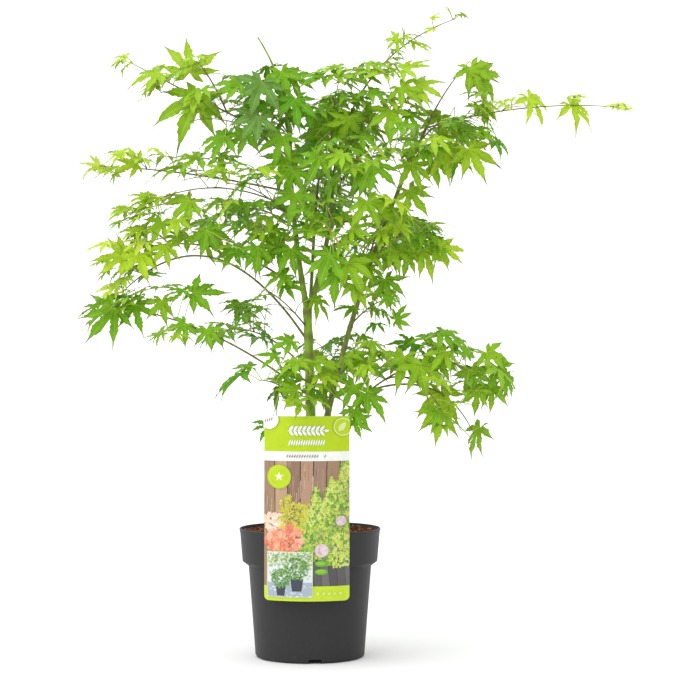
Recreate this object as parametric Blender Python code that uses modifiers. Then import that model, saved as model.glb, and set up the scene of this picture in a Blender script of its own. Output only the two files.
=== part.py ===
"""A young japanese maple, grown as a small clump of stems in a black nursery pot.

The pot stands on z = 0 with its axis on x = y = 0, and the side with the care label faces -Y.
Every limb and every mass of foliage is worked out from the named sizes in LIMBS and SPRAYS.
A limb is one bowed, tapering curve from its carrier to its tip. A spray is a limb too: the first
part of it is a bare bough, and the rest is the stem of a mass of foliage, which carries opposite
pairs of leaves and of side twigs. A leaf that finds no free room is left out.
"""

import math
import random
from typing import NamedTuple

import bmesh
import bpy
from mathutils import Matrix, Vector
from mathutils.bvhtree import BVHTree

MM = 0.001  # the tables of limbs and sprays are in millimetres, and all else is in metres

# ---------------------------------------------------------------- driving dimensions (metres)
GAP = 0.0003  # clearance between neighbouring solids

POT_RIM_RADIUS = 0.0950
POT_HEIGHT = 0.1730
POT_WALL = 0.0018
POT_BODY_TOP_RADIUS = 0.0825
POT_BODY_FOOT_RADIUS = 0.0735
COLLAR_HEIGHT = 0.0450
COLLAR_FOOT_RADIUS = 0.0908
SHOULDER_HEIGHT = 0.0050  # the step between the collar and the body
COLLAR_FOOT = POT_HEIGHT - COLLAR_HEIGHT
BODY_TOP = COLLAR_FOOT - SHOULDER_HEIGHT
LIP_HEIGHT = 0.0050  # the rim's thinner edge
LIP_SETBACK = 0.0010
INNER_SETBACK = 0.0010  # how much higher the collar's step lies on the inside
FOOT_ROUNDING = 0.0040
FOOT_RING_WIDTH = 0.0090
FOOT_RECESS = 0.0040
CENTRE_PAD_RADIUS = 0.0120  # the flat pad under the middle of the floor
FLOOR_THICKNESS = 0.0022
NOTCH_WIDTH = 0.0170
NOTCH_REACH = 0.0340  # across the foot ring and past both sides of it
NOTCH_HEIGHT = 0.0055
NOTCH_COUNT = 4
NOTCH_TURN = math.radians(6.5)
TURNED_STEPS = 32

MIX_CROWN_RADIUS = 0.0300
MIX_CROWN_HEIGHT = 0.1660  # the potting mix round the trunk
MIX_EDGE_HEIGHT = 0.1625  # and at the wall

LABEL_WIDTH = 0.1107  # straight across, between its side edges
LABEL_FOOT = 0.0850
LABEL_TOP = 0.3260
LABEL_THICKNESS = 0.0008
LABEL_CORNER = 0.0060
LABEL_TURN = math.radians(-1.9)
LABEL_STEPS = 12
TONGUE_WIDTH = 0.0140
TONGUE_DEPTH = 0.0070
TONGUE_THICKNESS = 0.0012
TONGUE_INSET = 0.0032  # from the rim's inner edge to the tongue's far face

FLARE_WIDTH = 0.0260  # the root flare, across
FLARE_HEIGHT = 0.0180
TRUNK_TOP = (-0.004, 0.000, 0.4700)
TRUNK_BOW = (0.003, 0.0, 0.0)
TRUNK_WIDTHS = (0.0160, 0.0112)  # above the flare and at the fork
TRUNK_STEPS = 12
LIMB_STEPS = 7
BOUGH_STEPS = 4
FINE_STEPS = 24  # points along a stem to which the reach of its leaves is measured
BOUGH_TIP_WIDTH = 0.0024  # across a bough where its foliage takes over
BOUGH_TAPER = 0.0050  # how much wider its foot is for each metre of its length
STEM_TIP_WIDTH = 0.0016  # across the stem of a mass at its far end
TWIG_WIDTH = 0.0016
PETIOLE_WIDTH = 0.0010
TRUNK_ROUNDNESS, STEM_ROUNDNESS, BOUGH_ROUNDNESS = 3, 2, 1  # four sides, and two more for each step
KNEE_LENGTH = 0.0060  # the end of the stalk that lies in line with the blade
FOOT_START = 0.00015  # how far from the middle of its carrier a stalk or a side twig starts

LOBES = ((0.0, 1.00), (41.0, 0.96), (87.0, 0.78))  # degrees from the middle lobe, share of length
SINUSES = ((20.0, 0.45), (63.0, 0.42))
BLADE_THICKNESS = 0.022  # share of the blade's length, at its middle
TWIGGY_SHARE = 0.30  # the share of a mass's stem that bears side twigs
TWIGGY_SPREAD = 67  # millimetres; a slimmer mass has none
CROWN_FLATNESS = 2.5  # how much wider than deep the crown is, as its leaves turn to the light
CROWN_MIDDLE_Y = 0.0300
BARE_BOUGH = 0.39  # a spray that is bare for at least this share has a bough of its own
TRIES = 14  # ways in which a leaf is turned before it is given up
ROOMY_BLADE = 1.04  # how much larger a blade is when its room is tested
FREE_STALK = 0.22  # the first share of a stalk or a twig may lie close to its neighbours
FIRST_SEED = 100

BARK_COLOUR = (0.20, 0.33, 0.04)
LEAF_COLOUR = (0.16, 0.42, 0.03)

# ranges that the growth draws from
BLADE_RANGE = (0.88, 1.08)  # of the blade length that its spray names
STALK_RANGE = (0.38, 0.70)  # of the blade's length
STALK_FORWARD = (0.2, 0.8)
STALK_LIFT = (-0.1, 0.5)
DROOP_RANGE = (15, 60)  # degrees that a blade hangs below level
TILT_RANGE = (0.2, 1.1)  # how far a blade faces out of the crown, against 0.8 upward
CUP_RANGE = (0.04, 0.26)
TWIG_RANGE = (0.45, 0.70)  # of the spread
END_SEATS = (0.0050, 0.0032, 0.0012)  # how far short of a tip its last three leaves stand
NODE_TURN = (50, 80)  # degrees between one leaf pair and the next
LOOSENESS = (0.40, 0.12)  # of a leaf's direction: at the first try, and more at each one after it


class Limb(NamedTuple):
    """One bowed, tapering limb, in millimetres."""

    name: str
    carrier: str  # the limb that it springs from
    at: float  # how far along its carrier it leaves, as a share
    tip: tuple
    bow: tuple  # how far its middle stands off the straight line
    width: float  # across at its foot
    tip_width: float


class Spray(NamedTuple):
    """A bough and the foliage on it, in millimetres."""

    name: str
    carrier: str
    at: float
    tip: tuple
    bow: tuple
    bare: float  # the share of its length that is a bare bough
    spread: float  # how far leaves reach to the side of its stem
    rise: float  # how far leaves reach above or below it
    blade: float  # length of a blade
    pairs: int  # pairs of leaves or of side twigs
    tip_blade: float = 0.8  # length of the blades at its tip, as a share of the length of the rest
    leafy_to: float = 1.0  # the share of its stem where the leaves end


LIMBS = (
    Limb("left_stem", "trunk", 0.985, (-26, -16, 705), (-6, -4, 0), 8.5, 4.2),
    Limb("mid_stem", "trunk", 0.975, (30, 8, 640), (8, 4, 0), 8.5, 4.2),
    Limb("back_stem", "trunk", 0.800, (10, 40, 640), (-2, 12, 0), 5.6, 3.4),
    Limb("right_stem", "trunk", 0.075, (166, -4, 731), (-24, -14, 0), 9.5, 3.6),
)

SPRAYS = (
    # the right-hand side, from the top down
    Spray("top_right", "mid_stem", 1.00, (196, 12, 860), (-30, 0, 30), 0.50, 46, 36, 34, 4, 0.5),
    Spray("top_right_low", "mid_stem", 0.94, (126, -34, 742), (-10, 0, 22), 0.30, 66, 50, 52, 3),
    Spray("far_right", "right_stem", 0.96, (411, 4, 740), (0, 0, 12), 0.28, 50, 44, 44, 3, 0.6),
    Spray("right_top", "right_stem", 1.00, (214, -6, 800), (-2, 0, 2), 0.30, 64, 52, 52, 1),
    Spray("right_high", "right_stem", 0.92, (232, -34, 700), (0, 0, 26), 0.20, 64, 56, 52, 3),
    Spray("right_high_back", "right_stem", 0.86, (200, 90, 690), (0, 10, 20), 0.38, 64, 50, 52, 2),
    Spray("right_shoulder", "right_stem", 0.76, (150, -64, 680), (0, -8, 16), 0.15, 66, 50, 54, 3),
    Spray("right_mid", "right_stem", 0.62, (160, -22, 560), (0, 0, 20), 0.15, 64, 50, 52, 2),
    Spray("right_mid_front", "right_stem", 0.52, (106, -94, 594), (0, -10, 20), 0.10, 66, 52, 54, 3),
    Spray("right_mid_back", "right_stem", 0.54, (146, 120, 580), (0, 10, 20), 0.38, 66, 50, 54, 2),
    Spray("right_mid_low", "right_stem", 0.46, (104, -36, 480), (0, 0, 6), 0.20, 50, 40, 42, 1),
    Spray("low_right", "right_stem", 0.18, (248, -22, 366), (4, -10, 62), 0.46, 64, 54, 52, 3),
    Spray("low_right_middle", "low_right", 0.42, (176, -54, 332), (0, 0, 20), 0.20, 62, 56, 56, 3),
    Spray("low_right_hanging", "low_right", 0.34, (220, -6, 300), (14, 0, 30), 0.60, 46, 50, 46, 1),
    Spray("low_right_inner", "right_stem", 0.32, (84, -66, 386), (0, 0, 18), 0.20, 62, 42, 54, 3),
    # the middle, from the top down
    Spray("top_middle", "mid_stem", 0.97, (40, -24, 776), (-6, -6, 0), 0.16, 70, 48, 54, 3),
    Spray("top_back", "back_stem", 1.00, (60, 120, 740), (0, 0, 10), 0.20, 70, 50, 56, 2),
    Spray("middle_front", "mid_stem", 0.70, (66, -96, 660), (0, -10, 20), 0.15, 70, 50, 56, 3),
    Spray("middle_low_front", "mid_stem", 0.42, (30, -110, 566), (0, -10, 16), 0.15, 68, 48, 56, 3),
    Spray("middle_back", "back_stem", 0.62, (20, 190, 620), (0, 0, 30), 0.38, 72, 50, 56, 2),
    Spray("low_front", "trunk", 0.60, (-2, -88, 352), (0, 0, 20), 0.12, 64, 44, 56, 3),
    Spray("low_back", "trunk", 0.60, (50, 160, 388), (0, 0, 26), 0.40, 66, 46, 54, 2),
    # the left-hand side, from the top down
    Spray("leader", "left_stem", 1.00, (-70, -8, 832), (6, 0, 6), 0.04, 64, 40, 54, 2, 0.8, 0.56),
    Spray("top_left_near", "left_stem", 0.97, (-104, -40, 756), (0, 0, 14), 0.15, 64, 44, 56, 3),
    Spray("top_left", "left_stem", 0.93, (-240, 20, 800), (6, 0, -4), 0.50, 60, 54, 54, 3, 0.5),
    Spray("top_left_standing", "top_left", 0.40, (-146, -4, 794), (0, 0, 4), 0.60, 76, 46, 54, 0, 1.0),
    Spray("upper_left", "left_stem", 0.84, (-160, -34, 716), (0, 0, 22), 0.30, 66, 46, 54, 3),
    Spray("upper_left_back", "left_stem", 0.80, (-110, 130, 720), (0, 10, 20), 0.30, 70, 50, 56, 2),
    Spray("left_shoot", "left_stem", 0.66, (-284, 0, 660), (0, 0, 6), 0.40, 50, 40, 48, 3, 0.6),
    Spray("left_mid", "left_stem", 0.56, (-240, -14, 596), (0, 0, 32), 0.38, 56, 40, 48, 3, 0.7),
    Spray("left_mid_front", "left_stem", 0.50, (-106, -100, 628), (0, -10, 12), 0.18, 68, 48, 54, 3),
    Spray("left_low_front", "left_stem", 0.30, (-88, -60, 540), (0, 0, 12), 0.18, 62, 44, 50, 3),
    Spray("left_inner", "trunk", 0.90, (-58, -50, 492), (0, 0, 6), 0.20, 60, 42, 50, 1),
    Spray("left_mid_back", "left_stem", 0.46, (-140, 140, 600), (0, 0, 20), 0.40, 70, 48, 54, 2),
    Spray("left_lime", "left_stem", 0.10, (-254, -6, 540), (0, 0, 36), 0.52, 60, 42, 52, 3),
    Spray("left_arch", "trunk", 0.84, (-254, 10, 490), (0, 0, 80), 0.78, 48, 34, 40, 2, 0.8),
    Spray("low_left", "trunk", 0.60, (-266, -12, 470), (0, 0, 24), 0.64, 66, 54, 60, 2),
    Spray("low_left_near", "low_left", 0.50, (-180, -50, 440), (0, 0, 6), 0.0, 54, 38, 48, 2),
    Spray("low_left_inner", "trunk", 0.52, (-66, -60, 372), (0, 0, 12), 0.16, 62, 42, 56, 2),
    Spray("low_left_back", "trunk", 0.70, (-120, 120, 440), (0, 0, 20), 0.40, 66, 46, 54, 2),
)


# ---------------------------------------------------------------- curves and free room
def bowed(start, tip, bow, steps):
    """Points along a curve whose middle stands off the straight line by bow."""
    control = (start + tip) / 2 + 2 * bow
    shares = [step / steps for step in range(steps + 1)]
    return [start.lerp(control, t).lerp(control.lerp(tip, t), t) for t in shares]


def along(points, share):
    """The point at this share of a route's length, and the direction there."""
    lengths = [(b - a).length for a, b in zip(points, points[1:])]
    left = share * sum(lengths)
    for a, b, length in zip(points, points[1:], lengths):
        if left <= length:
            return a.lerp(b, left / length), (b - a).normalized()
        left -= length
    return points[-1].copy(), (points[-1] - points[-2]).normalized()


def part_of(points, first, last, steps):
    """The stretch of a route between two shares of its length."""
    return [along(points, first + (last - first) * step / steps)[0] for step in range(steps + 1)]


def across(direction, near):
    """The unit vector square to direction that lies nearest to near."""
    return (near - near.dot(direction) * direction).normalized()


def tube_mesh(name, points, widths, resolution):
    """The mesh of a closed tube along the points; resolution 0 gives four sides, and each step two more."""
    curve = bpy.data.curves.new(name, "CURVE")
    curve.dimensions = "3D"
    curve.bevel_depth = 1.0
    curve.bevel_resolution = resolution
    curve.use_fill_caps = True
    spline = curve.splines.new("POLY")
    spline.points.add(len(points) - 1)
    for knot, point, width in zip(spline.points, points, widths):
        knot.co = (*point, 1.0)
        knot.radius = width / 2
    guide = bpy.data.objects.new(name, curve)
    bpy.context.scene.collection.objects.link(guide)
    graph = bpy.context.evaluated_depsgraph_get()
    mesh = bpy.data.meshes.new_from_object(guide.evaluated_get(graph))
    bpy.data.objects.remove(guide)
    bpy.data.curves.remove(curve)
    shape = bmesh.new()
    shape.from_mesh(mesh)
    bmesh.ops.remove_doubles(shape, verts=shape.verts, dist=1e-6)
    bmesh.ops.recalc_face_normals(shape, faces=shape.faces)
    shape.to_mesh(mesh)
    shape.free()
    return mesh


class Leaf(NamedTuple):
    """One leaf: a stalk from foot to heart, and a palmate blade round its heart."""

    foot: Vector
    heart: Vector
    axis: Vector  # from the heart to the middle lobe's tip
    normal: Vector
    length: float
    cup: float  # how far the tips hang below the heart, as a share of the length


def blade_outline(leaf, scale=1.0):
    """The blade's edge, from its back on one side round the lobes to its back on the other."""
    side = leaf.normal.cross(leaf.axis)
    half = sorted(LOBES + SINUSES, reverse=True)
    edge = []
    for angle, reach in [(-angle, reach) for angle, reach in half] + half[-2::-1]:
        turn = math.radians(angle)
        way = leaf.axis * math.cos(turn) + side * math.sin(turn)
        reach *= scale
        edge.append(leaf.heart + leaf.length * (reach * way - leaf.cup * reach**2 * leaf.normal))
    return edge


def leaf_shape(leaf, scale=1.0, swell=0.0):
    """A closed leaf: a three-sided stalk bends at a knee and opens at the heart into the blade's two fans.

    No primitive makes this: it is a loft from a triangle to a star, so its faces are listed here.
    """
    side = leaf.normal.cross(leaf.axis)
    half = PETIOLE_WIDTH / 2 + swell
    thick = leaf.length * BLADE_THICKNESS / 2 + swell
    knee = leaf.heart - leaf.axis * KNEE_LENGTH
    run = (knee - leaf.foot).normalized()
    shape = bmesh.new()
    rings = []
    for centre, heading in ((leaf.foot, run), (knee, (run + leaf.axis).normalized())):
        turn = leaf.axis.rotation_difference(heading)
        up, left = turn @ leaf.normal, turn @ -side
        corners = (up, 0.87 * left - 0.5 * up, -0.87 * left - 0.5 * up)
        rings.append([shape.verts.new(centre + half * corner) for corner in corners])
    top = shape.verts.new(leaf.heart + thick * leaf.normal)
    under = shape.verts.new(leaf.heart + leaf.axis * leaf.length * 0.04 - thick * leaf.normal)
    back = leaf.heart - leaf.axis * PETIOLE_WIDTH - 0.3 * thick * leaf.normal
    left, right = (shape.verts.new(back + way * half * 1.6 * side) for way in (-1, 1))
    rings.append([top, left, right])
    shape.faces.new(rings[0])
    for near, far in zip(rings, rings[1:]):
        for here, there in ((0, 1), (1, 2), (2, 0)):
            shape.faces.new((near[here], near[there], far[there], far[here]))
    edge = [left] + [shape.verts.new(point) for point in blade_outline(leaf, scale)] + [right]
    for a, b in zip(edge, edge[1:]):
        shape.faces.new((top, a, b))
        shape.faces.new((under, b, a))
    shape.faces.new((under, left, right))
    bmesh.ops.triangulate(shape, faces=shape.faces)
    bmesh.ops.recalc_face_normals(shape, faces=shape.faces)
    return shape


class Room:
    """What already stands where, so that a new twig or leaf can be kept clear of it."""

    def __init__(self):
        self.taken = []

    def box_of(self, shape):
        points = [corner.co for corner in shape.verts]
        low = [min(point[i] for point in points) for i in range(3)]
        high = [max(point[i] for point in points) for i in range(3)]
        return low, high

    def take(self, shape):
        self.taken.append((*self.box_of(shape), BVHTree.FromBMesh(shape)))

    def is_free(self, shape):
        low, high = self.box_of(shape)
        tree = None
        for other_low, other_high, other in self.taken:
            if any(low[i] > other_high[i] or high[i] < other_low[i] for i in range(3)):
                continue
            tree = tree or BVHTree.FromBMesh(shape)
            if tree.overlap(other):
                return False
        return True


# ---------------------------------------------------------------- growing
UP = Vector((0.0, 0.0, 1.0))


def routes_of_limbs():
    """The whole route of the trunk, of each limb and of each spray, by name."""
    foot = Vector((0.0, 0.0, MIX_CROWN_HEIGHT + GAP))
    routes = {"trunk": bowed(foot, Vector(TRUNK_TOP), Vector(TRUNK_BOW), TRUNK_STEPS)}
    for limb in LIMBS + SPRAYS:
        start, _ = along(routes[limb.carrier], limb.at)
        routes[limb.name] = bowed(start, Vector(limb.tip) * MM, Vector(limb.bow) * MM, LIMB_STEPS)
    return routes


def loose(chance):
    """A seeded vector of any direction, no longer than one."""
    return Vector([chance.uniform(-1, 1) for _ in range(3)]) * 0.58


def outward(point):
    """The level way that a leaf faces there: out of the crown, and more to front or back than aside."""
    return Vector((point.x, CROWN_FLATNESS * (point.y - CROWN_MIDDLE_Y), 0.0)).normalized()


def turned_leaf(spray, seat, chance, attempt):
    """A leaf that stands out from its seat and hangs, turned more freely at each attempt."""
    foot, way, forward, share = seat
    free = LOOSENESS[0] + attempt * LOOSENESS[1]
    length = spray.blade * MM * chance.uniform(*BLADE_RANGE) * (1 - (1 - spray.tip_blade) * share)
    stalk = length * chance.uniform(*STALK_RANGE)
    run = way + forward * chance.uniform(*STALK_FORWARD) + UP * chance.uniform(*STALK_LIFT)
    run = (run + free * loose(chance)).normalized()
    heart = foot + run * stalk
    level = Vector((run.x, run.y, 0.0)) + 0.4 * outward(heart) + free * loose(chance)
    level.z = 0.0
    droop = math.radians(chance.uniform(*DROOP_RANGE))
    axis = level.normalized() * math.cos(droop) - UP * math.sin(droop)
    if axis.dot(run) < 0.2:
        axis = (axis + run * (0.4 - axis.dot(run))).normalized()
    facing = 0.8 * UP + chance.uniform(*TILT_RANGE) * outward(heart) + 0.5 * loose(chance)
    cup = chance.uniform(*CUP_RANGE)
    return Leaf(foot + run * FOOT_START, heart, axis, across(axis, facing), length, cup)


def in_space(spray, stem, points):
    """Whether the points keep to the space round the stem that belongs to this spray."""
    for point in points:
        nearest = min(
            ((point.xy - here.xy).length / (spray.spread * MM)) ** 2
            + ((point.z - here.z) / (spray.rise * MM)) ** 2
            for here in stem
        )
        if nearest > 1.0:
            return False
    return True


class Mass:
    """The twigs and leaves of one spray, as they grow."""

    def __init__(self, spray, route, seed):
        self.spray = spray
        self.name = "foliage_" + spray.name
        self.chance = random.Random(seed)
        self.leafless = 0.0 if spray.bare >= BARE_BOUGH else spray.bare
        self.stem = part_of(route, spray.bare - self.leafless, 1.0, max(2, spray.pairs))
        self.fine_stem = part_of(self.stem, self.leafless, spray.leafy_to, FINE_STEPS)
        self.twigs = []
        self.leaves = []
        self.seats = []

    def grow_twigs(self, room):
        """Side twigs on the first part of the stem, leaf pairs on the rest, three leaves at each end."""
        turn = self.chance.uniform(-0.4, 0.4)
        leafy = self.spray.leafy_to - self.leafless
        for number in range(self.spray.pairs):
            share = self.leafless + leafy * (number + 0.35) / self.spray.pairs
            foot, forward = along(self.stem, share)
            level = forward.cross(UP).normalized()
            lift = level.cross(forward)
            for way in (level, -level):
                way = way * math.cos(turn) + lift * math.sin(turn)
                if share - self.leafless < TWIGGY_SHARE and self.spray.spread >= TWIGGY_SPREAD:
                    self.grow_twig(foot, way, forward, share, room)
                else:
                    self.seats.append((foot, way, forward, share))
            turn += math.radians(self.chance.uniform(*NODE_TURN))
        tip, forward = along(self.stem, self.spray.leafy_to)
        self.end_seats(tip, forward, 1.0)

    def grow_twig(self, foot, way, forward, share, room):
        length = self.spray.spread * MM * self.chance.uniform(*TWIG_RANGE) * (1.1 - 0.5 * share)
        run = (way + 0.55 * forward + 0.25 * loose(self.chance)).normalized()
        tip = foot + run * length
        outer = straight_shape(foot.lerp(tip, FREE_STALK), tip, TWIG_WIDTH + 2 * GAP)
        if room.is_free(outer):
            room.take(outer)
            self.twigs.append((foot + run * FOOT_START, tip))
            self.end_seats(tip, run, share)
        else:
            self.seats.append((foot, way, forward, share))

    def end_seats(self, tip, run, share):
        """A pair of leaves just short of the tip, and one that carries the tip on."""
        level = run.cross(UP).normalized()
        ways = (level, -level, 0.6 * run - 0.3 * UP)
        for short, way in zip(END_SEATS, ways):
            self.seats.append((tip - run * short, way, run, share))

    def grow_leaf(self, seat, room):
        for attempt in range(TRIES):
            leaf = turned_leaf(self.spray, seat, self.chance, attempt)
            if not in_space(self.spray, self.fine_stem, blade_outline(leaf)):
                continue
            outer = leaf._replace(foot=leaf.foot.lerp(leaf.heart, FREE_STALK))
            shape = leaf_shape(outer, ROOMY_BLADE, GAP)
            if room.is_free(shape):
                room.take(shape)
                self.leaves.append(leaf)
                return


def straight_shape(foot, tip, width):
    """The closed shape of a straight three-sided twig."""
    run = tip - foot
    shape = bmesh.new()
    bmesh.ops.create_cone(
        shape, cap_ends=True, segments=3, radius1=width / 2, radius2=width / 2, depth=run.length
    )
    turn = run.to_track_quat("Z", "Y").to_matrix()
    for corner in shape.verts:
        corner.co = turn @ corner.co + (foot + tip) / 2
    return shape


def grow(masses, room):
    """The twigs of every mass, then a leaf of each in turn, from the tips back."""
    for mass in masses:
        mass.grow_twigs(room)
    for number in range(max(len(mass.seats) for mass in masses)):
        for mass in masses:
            if number < len(mass.seats):
                mass.grow_leaf(mass.seats[-1 - number], room)


# ---------------------------------------------------------------- solids
def clear_scene():
    for obj in list(bpy.data.objects):
        bpy.data.objects.remove(obj)
    for collection in list(bpy.data.collections):
        bpy.data.collections.remove(collection)


def new_collection(name):
    collection = bpy.data.collections.new(name)
    bpy.context.scene.collection.children.link(collection)
    return collection


def material(name, colour, roughness, metallic=0.0):
    made = bpy.data.materials.new(name)
    made.use_nodes = True
    shader = made.node_tree.nodes["Principled BSDF"]
    shader.inputs["Base Color"].default_value = (*colour, 1.0)
    shader.inputs["Roughness"].default_value = roughness
    shader.inputs["Metallic"].default_value = metallic
    return made


def new_object(name, mesh, collection, finish=None):
    obj = bpy.data.objects.new(name, mesh)
    collection.objects.link(obj)
    if finish:
        mesh.materials.clear()
        mesh.materials.append(finish)
    return obj


def cutter(name, mesh, cutters):
    obj = new_object(name, mesh, cutters)
    obj.hide_render = True
    obj.display_type = "WIRE"
    return obj


def baked(obj):
    """Replace the object's modifiers by the mesh that they make."""
    graph = bpy.context.evaluated_depsgraph_get()
    mesh = bpy.data.meshes.new_from_object(obj.evaluated_get(graph))
    obj.modifiers.clear()
    obj.data = mesh


def screw(obj):
    turning = obj.modifiers.new("turned", "SCREW")
    turning.steps = turning.render_steps = TURNED_STEPS
    turning.use_merge_vertices = True
    turning.merge_threshold = 1e-5
    turning.use_smooth_shade = False


def profile_mesh(name, points):
    mesh = bpy.data.meshes.new(name)
    corners = [(radius, 0.0, height) for radius, height in points]
    edges = [(i, i + 1) for i in range(len(points) - 1)]
    mesh.from_pydata(corners, edges, [])
    return mesh


def pot_outer():
    """The outer side, from the rim down to the foot ring."""
    return [
        (POT_RIM_RADIUS, POT_HEIGHT),
        (POT_RIM_RADIUS - LIP_SETBACK, POT_HEIGHT - LIP_HEIGHT),
        (COLLAR_FOOT_RADIUS, COLLAR_FOOT),
        (POT_BODY_TOP_RADIUS, BODY_TOP),
        (POT_BODY_FOOT_RADIUS, FOOT_ROUNDING),
        (POT_BODY_FOOT_RADIUS - FOOT_ROUNDING, 0.0),
    ]


def pot_inner():
    """The inner side, from the middle of the floor up to the rim."""
    floor = FOOT_RECESS + FLOOR_THICKNESS
    return [
        (0.0, floor),
        (POT_BODY_FOOT_RADIUS - POT_WALL, floor),
        (POT_BODY_TOP_RADIUS - POT_WALL, BODY_TOP),
        (COLLAR_FOOT_RADIUS - POT_WALL, COLLAR_FOOT + INNER_SETBACK),
        (POT_RIM_RADIUS - POT_WALL - LIP_SETBACK, POT_HEIGHT - LIP_HEIGHT),
        (POT_RIM_RADIUS - POT_WALL, POT_HEIGHT),
    ]


def build_pot(parts, cutters, finish):
    """A turned shell with a collar, a foot ring, a centre pad and drainage notches through the ring."""
    ring_inside = POT_BODY_FOOT_RADIUS - FOOT_ROUNDING - FOOT_RING_WIDTH
    underside = [
        (ring_inside, 0.0),
        (ring_inside, FOOT_RECESS),
        (CENTRE_PAD_RADIUS, FOOT_RECESS),
        (CENTRE_PAD_RADIUS, 0.0),
        (0.0, 0.0),
    ]
    profile = pot_inner() + pot_outer() + underside
    pot = new_object("pot", profile_mesh("pot", profile), parts, finish)
    screw(pot)
    reach = POT_BODY_FOOT_RADIUS
    for number in range(NOTCH_COUNT):
        turn = NOTCH_TURN - math.pi / 2 + number * 2 * math.pi / NOTCH_COUNT
        shape = bmesh.new()
        bmesh.ops.create_cube(shape, size=1.0)
        mesh = bpy.data.meshes.new("notch")
        shape.to_mesh(mesh)
        shape.free()
        notch = cutter(f"notch_{number}", mesh, cutters)
        notch.scale = (NOTCH_REACH, NOTCH_WIDTH, 2 * NOTCH_HEIGHT)
        notch.location = (reach * math.cos(turn), reach * math.sin(turn), 0.0)
        notch.rotation_euler = (0.0, 0.0, turn)
        cut = pot.modifiers.new(f"notch {number}", "BOOLEAN")
        cut.object = notch


def build_potting_mix(parts, finish):
    """The mix that fills the pot, a little clear of its wall and mounded round the trunk."""
    floor = FOOT_RECESS + FLOOR_THICKNESS + GAP
    inside = POT_WALL + 1.5 * GAP
    step = COLLAR_FOOT + INNER_SETBACK
    step_slope = (COLLAR_FOOT_RADIUS - POT_BODY_TOP_RADIUS) / (step - BODY_TOP)
    wall_slope = (POT_RIM_RADIUS - LIP_SETBACK - COLLAR_FOOT_RADIUS) / (POT_HEIGHT - LIP_HEIGHT - step)
    profile = [
        (0.0, MIX_CROWN_HEIGHT),
        (MIX_CROWN_RADIUS, MIX_CROWN_HEIGHT),
        (COLLAR_FOOT_RADIUS + (MIX_EDGE_HEIGHT - step) * wall_slope - inside, MIX_EDGE_HEIGHT),
        (COLLAR_FOOT_RADIUS - inside, step + GAP / step_slope),
        (POT_BODY_TOP_RADIUS - inside, BODY_TOP + GAP / step_slope),
        (POT_BODY_FOOT_RADIUS - inside, floor),
        (0.0, floor),
    ]
    mix = new_object("potting_mix", profile_mesh("potting_mix", profile), parts, finish)
    screw(mix)


def label_columns():
    """Where the card's columns of points stand, from edge to edge, closer together at the round corners."""
    inside = LABEL_WIDTH / 2 - LABEL_CORNER
    even = [inside * (2 * step / LABEL_STEPS - 1) for step in range(LABEL_STEPS + 1)]
    corner = [inside + LABEL_CORNER * math.sin(math.radians(turn)) for turn in (30, 60, 90)]
    return [-place for place in reversed(corner)] + even + corner


def build_label(parts, finish):
    """A card curved like the rim, with a tongue at its back that hooks over the rim."""
    radius = POT_RIM_RADIUS + GAP
    columns = label_columns()
    shape = bmesh.new()
    bmesh.ops.create_grid(shape, x_segments=len(columns) - 1, y_segments=1, size=0.5)
    for corner in shape.verts:
        place = columns[round((corner.co.x + 0.5) * (len(columns) - 1))]
        turn = math.asin(place / radius) - math.pi / 2 + LABEL_TURN
        past = max(0.0, abs(place) - LABEL_WIDTH / 2 + LABEL_CORNER)
        foot = LABEL_FOOT + LABEL_CORNER - math.sqrt(max(0.0, LABEL_CORNER**2 - past**2))
        height = foot if corner.co.y < 0 else LABEL_TOP
        corner.co = (radius * math.cos(turn), radius * math.sin(turn), height)
    mesh = bpy.data.meshes.new("care_label")
    shape.to_mesh(mesh)
    shape.free()
    card = new_object("care_label", mesh, parts, finish)
    thick = card.modifiers.new("card", "SOLIDIFY")
    thick.thickness = LABEL_THICKNESS
    thick.offset = 1.0 if mesh.polygons[0].normal.dot(mesh.polygons[0].center.xy.to_3d()) > 0 else -1.0
    tongue = new_collection("tongue")
    top = POT_HEIGHT + GAP + TONGUE_THICKNESS / 2
    inner = POT_RIM_RADIUS - POT_WALL - TONGUE_INSET
    outer = radius + LABEL_THICKNESS / 3
    over_rim = ((inner + outer) / 2, outer - inner, top, TONGUE_THICKNESS)
    behind_rim = (
        inner + TONGUE_THICKNESS / 2,
        TONGUE_THICKNESS,
        top - TONGUE_DEPTH / 2,
        TONGUE_DEPTH + TONGUE_THICKNESS,
    )
    for distance, depth, middle, height in (over_rim, behind_rim):
        shape = bmesh.new()
        bmesh.ops.create_cube(shape, size=1.0)
        bmesh.ops.scale(shape, verts=shape.verts, vec=(TONGUE_WIDTH, depth, height))
        bmesh.ops.translate(shape, verts=shape.verts, vec=(0.0, -distance, middle))
        bmesh.ops.rotate(shape, verts=shape.verts, matrix=Matrix.Rotation(LABEL_TURN, 3, "Z"))
        strip = bpy.data.meshes.new("strip")
        shape.to_mesh(strip)
        shape.free()
        new_object("strip", strip, tongue)
    join(card, tongue)
    return card


def join(obj, others):
    """Union the object with everything in a collection, and remove that collection."""
    union = obj.modifiers.new("union", "BOOLEAN")
    union.operation = "UNION"
    union.operand_type = "COLLECTION"
    union.collection = others
    baked(obj)
    for other in list(others.objects):
        bpy.data.objects.remove(other)
    bpy.data.collections.remove(others)


def shape_of(obj):
    graph = bpy.context.evaluated_depsgraph_get()
    shape = bmesh.new()
    shape.from_object(obj, graph)
    shape.transform(obj.matrix_world)
    return shape


def widths_between(first, last, count):
    return [first + (last - first) * step / (count - 1) for step in range(count)]


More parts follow.
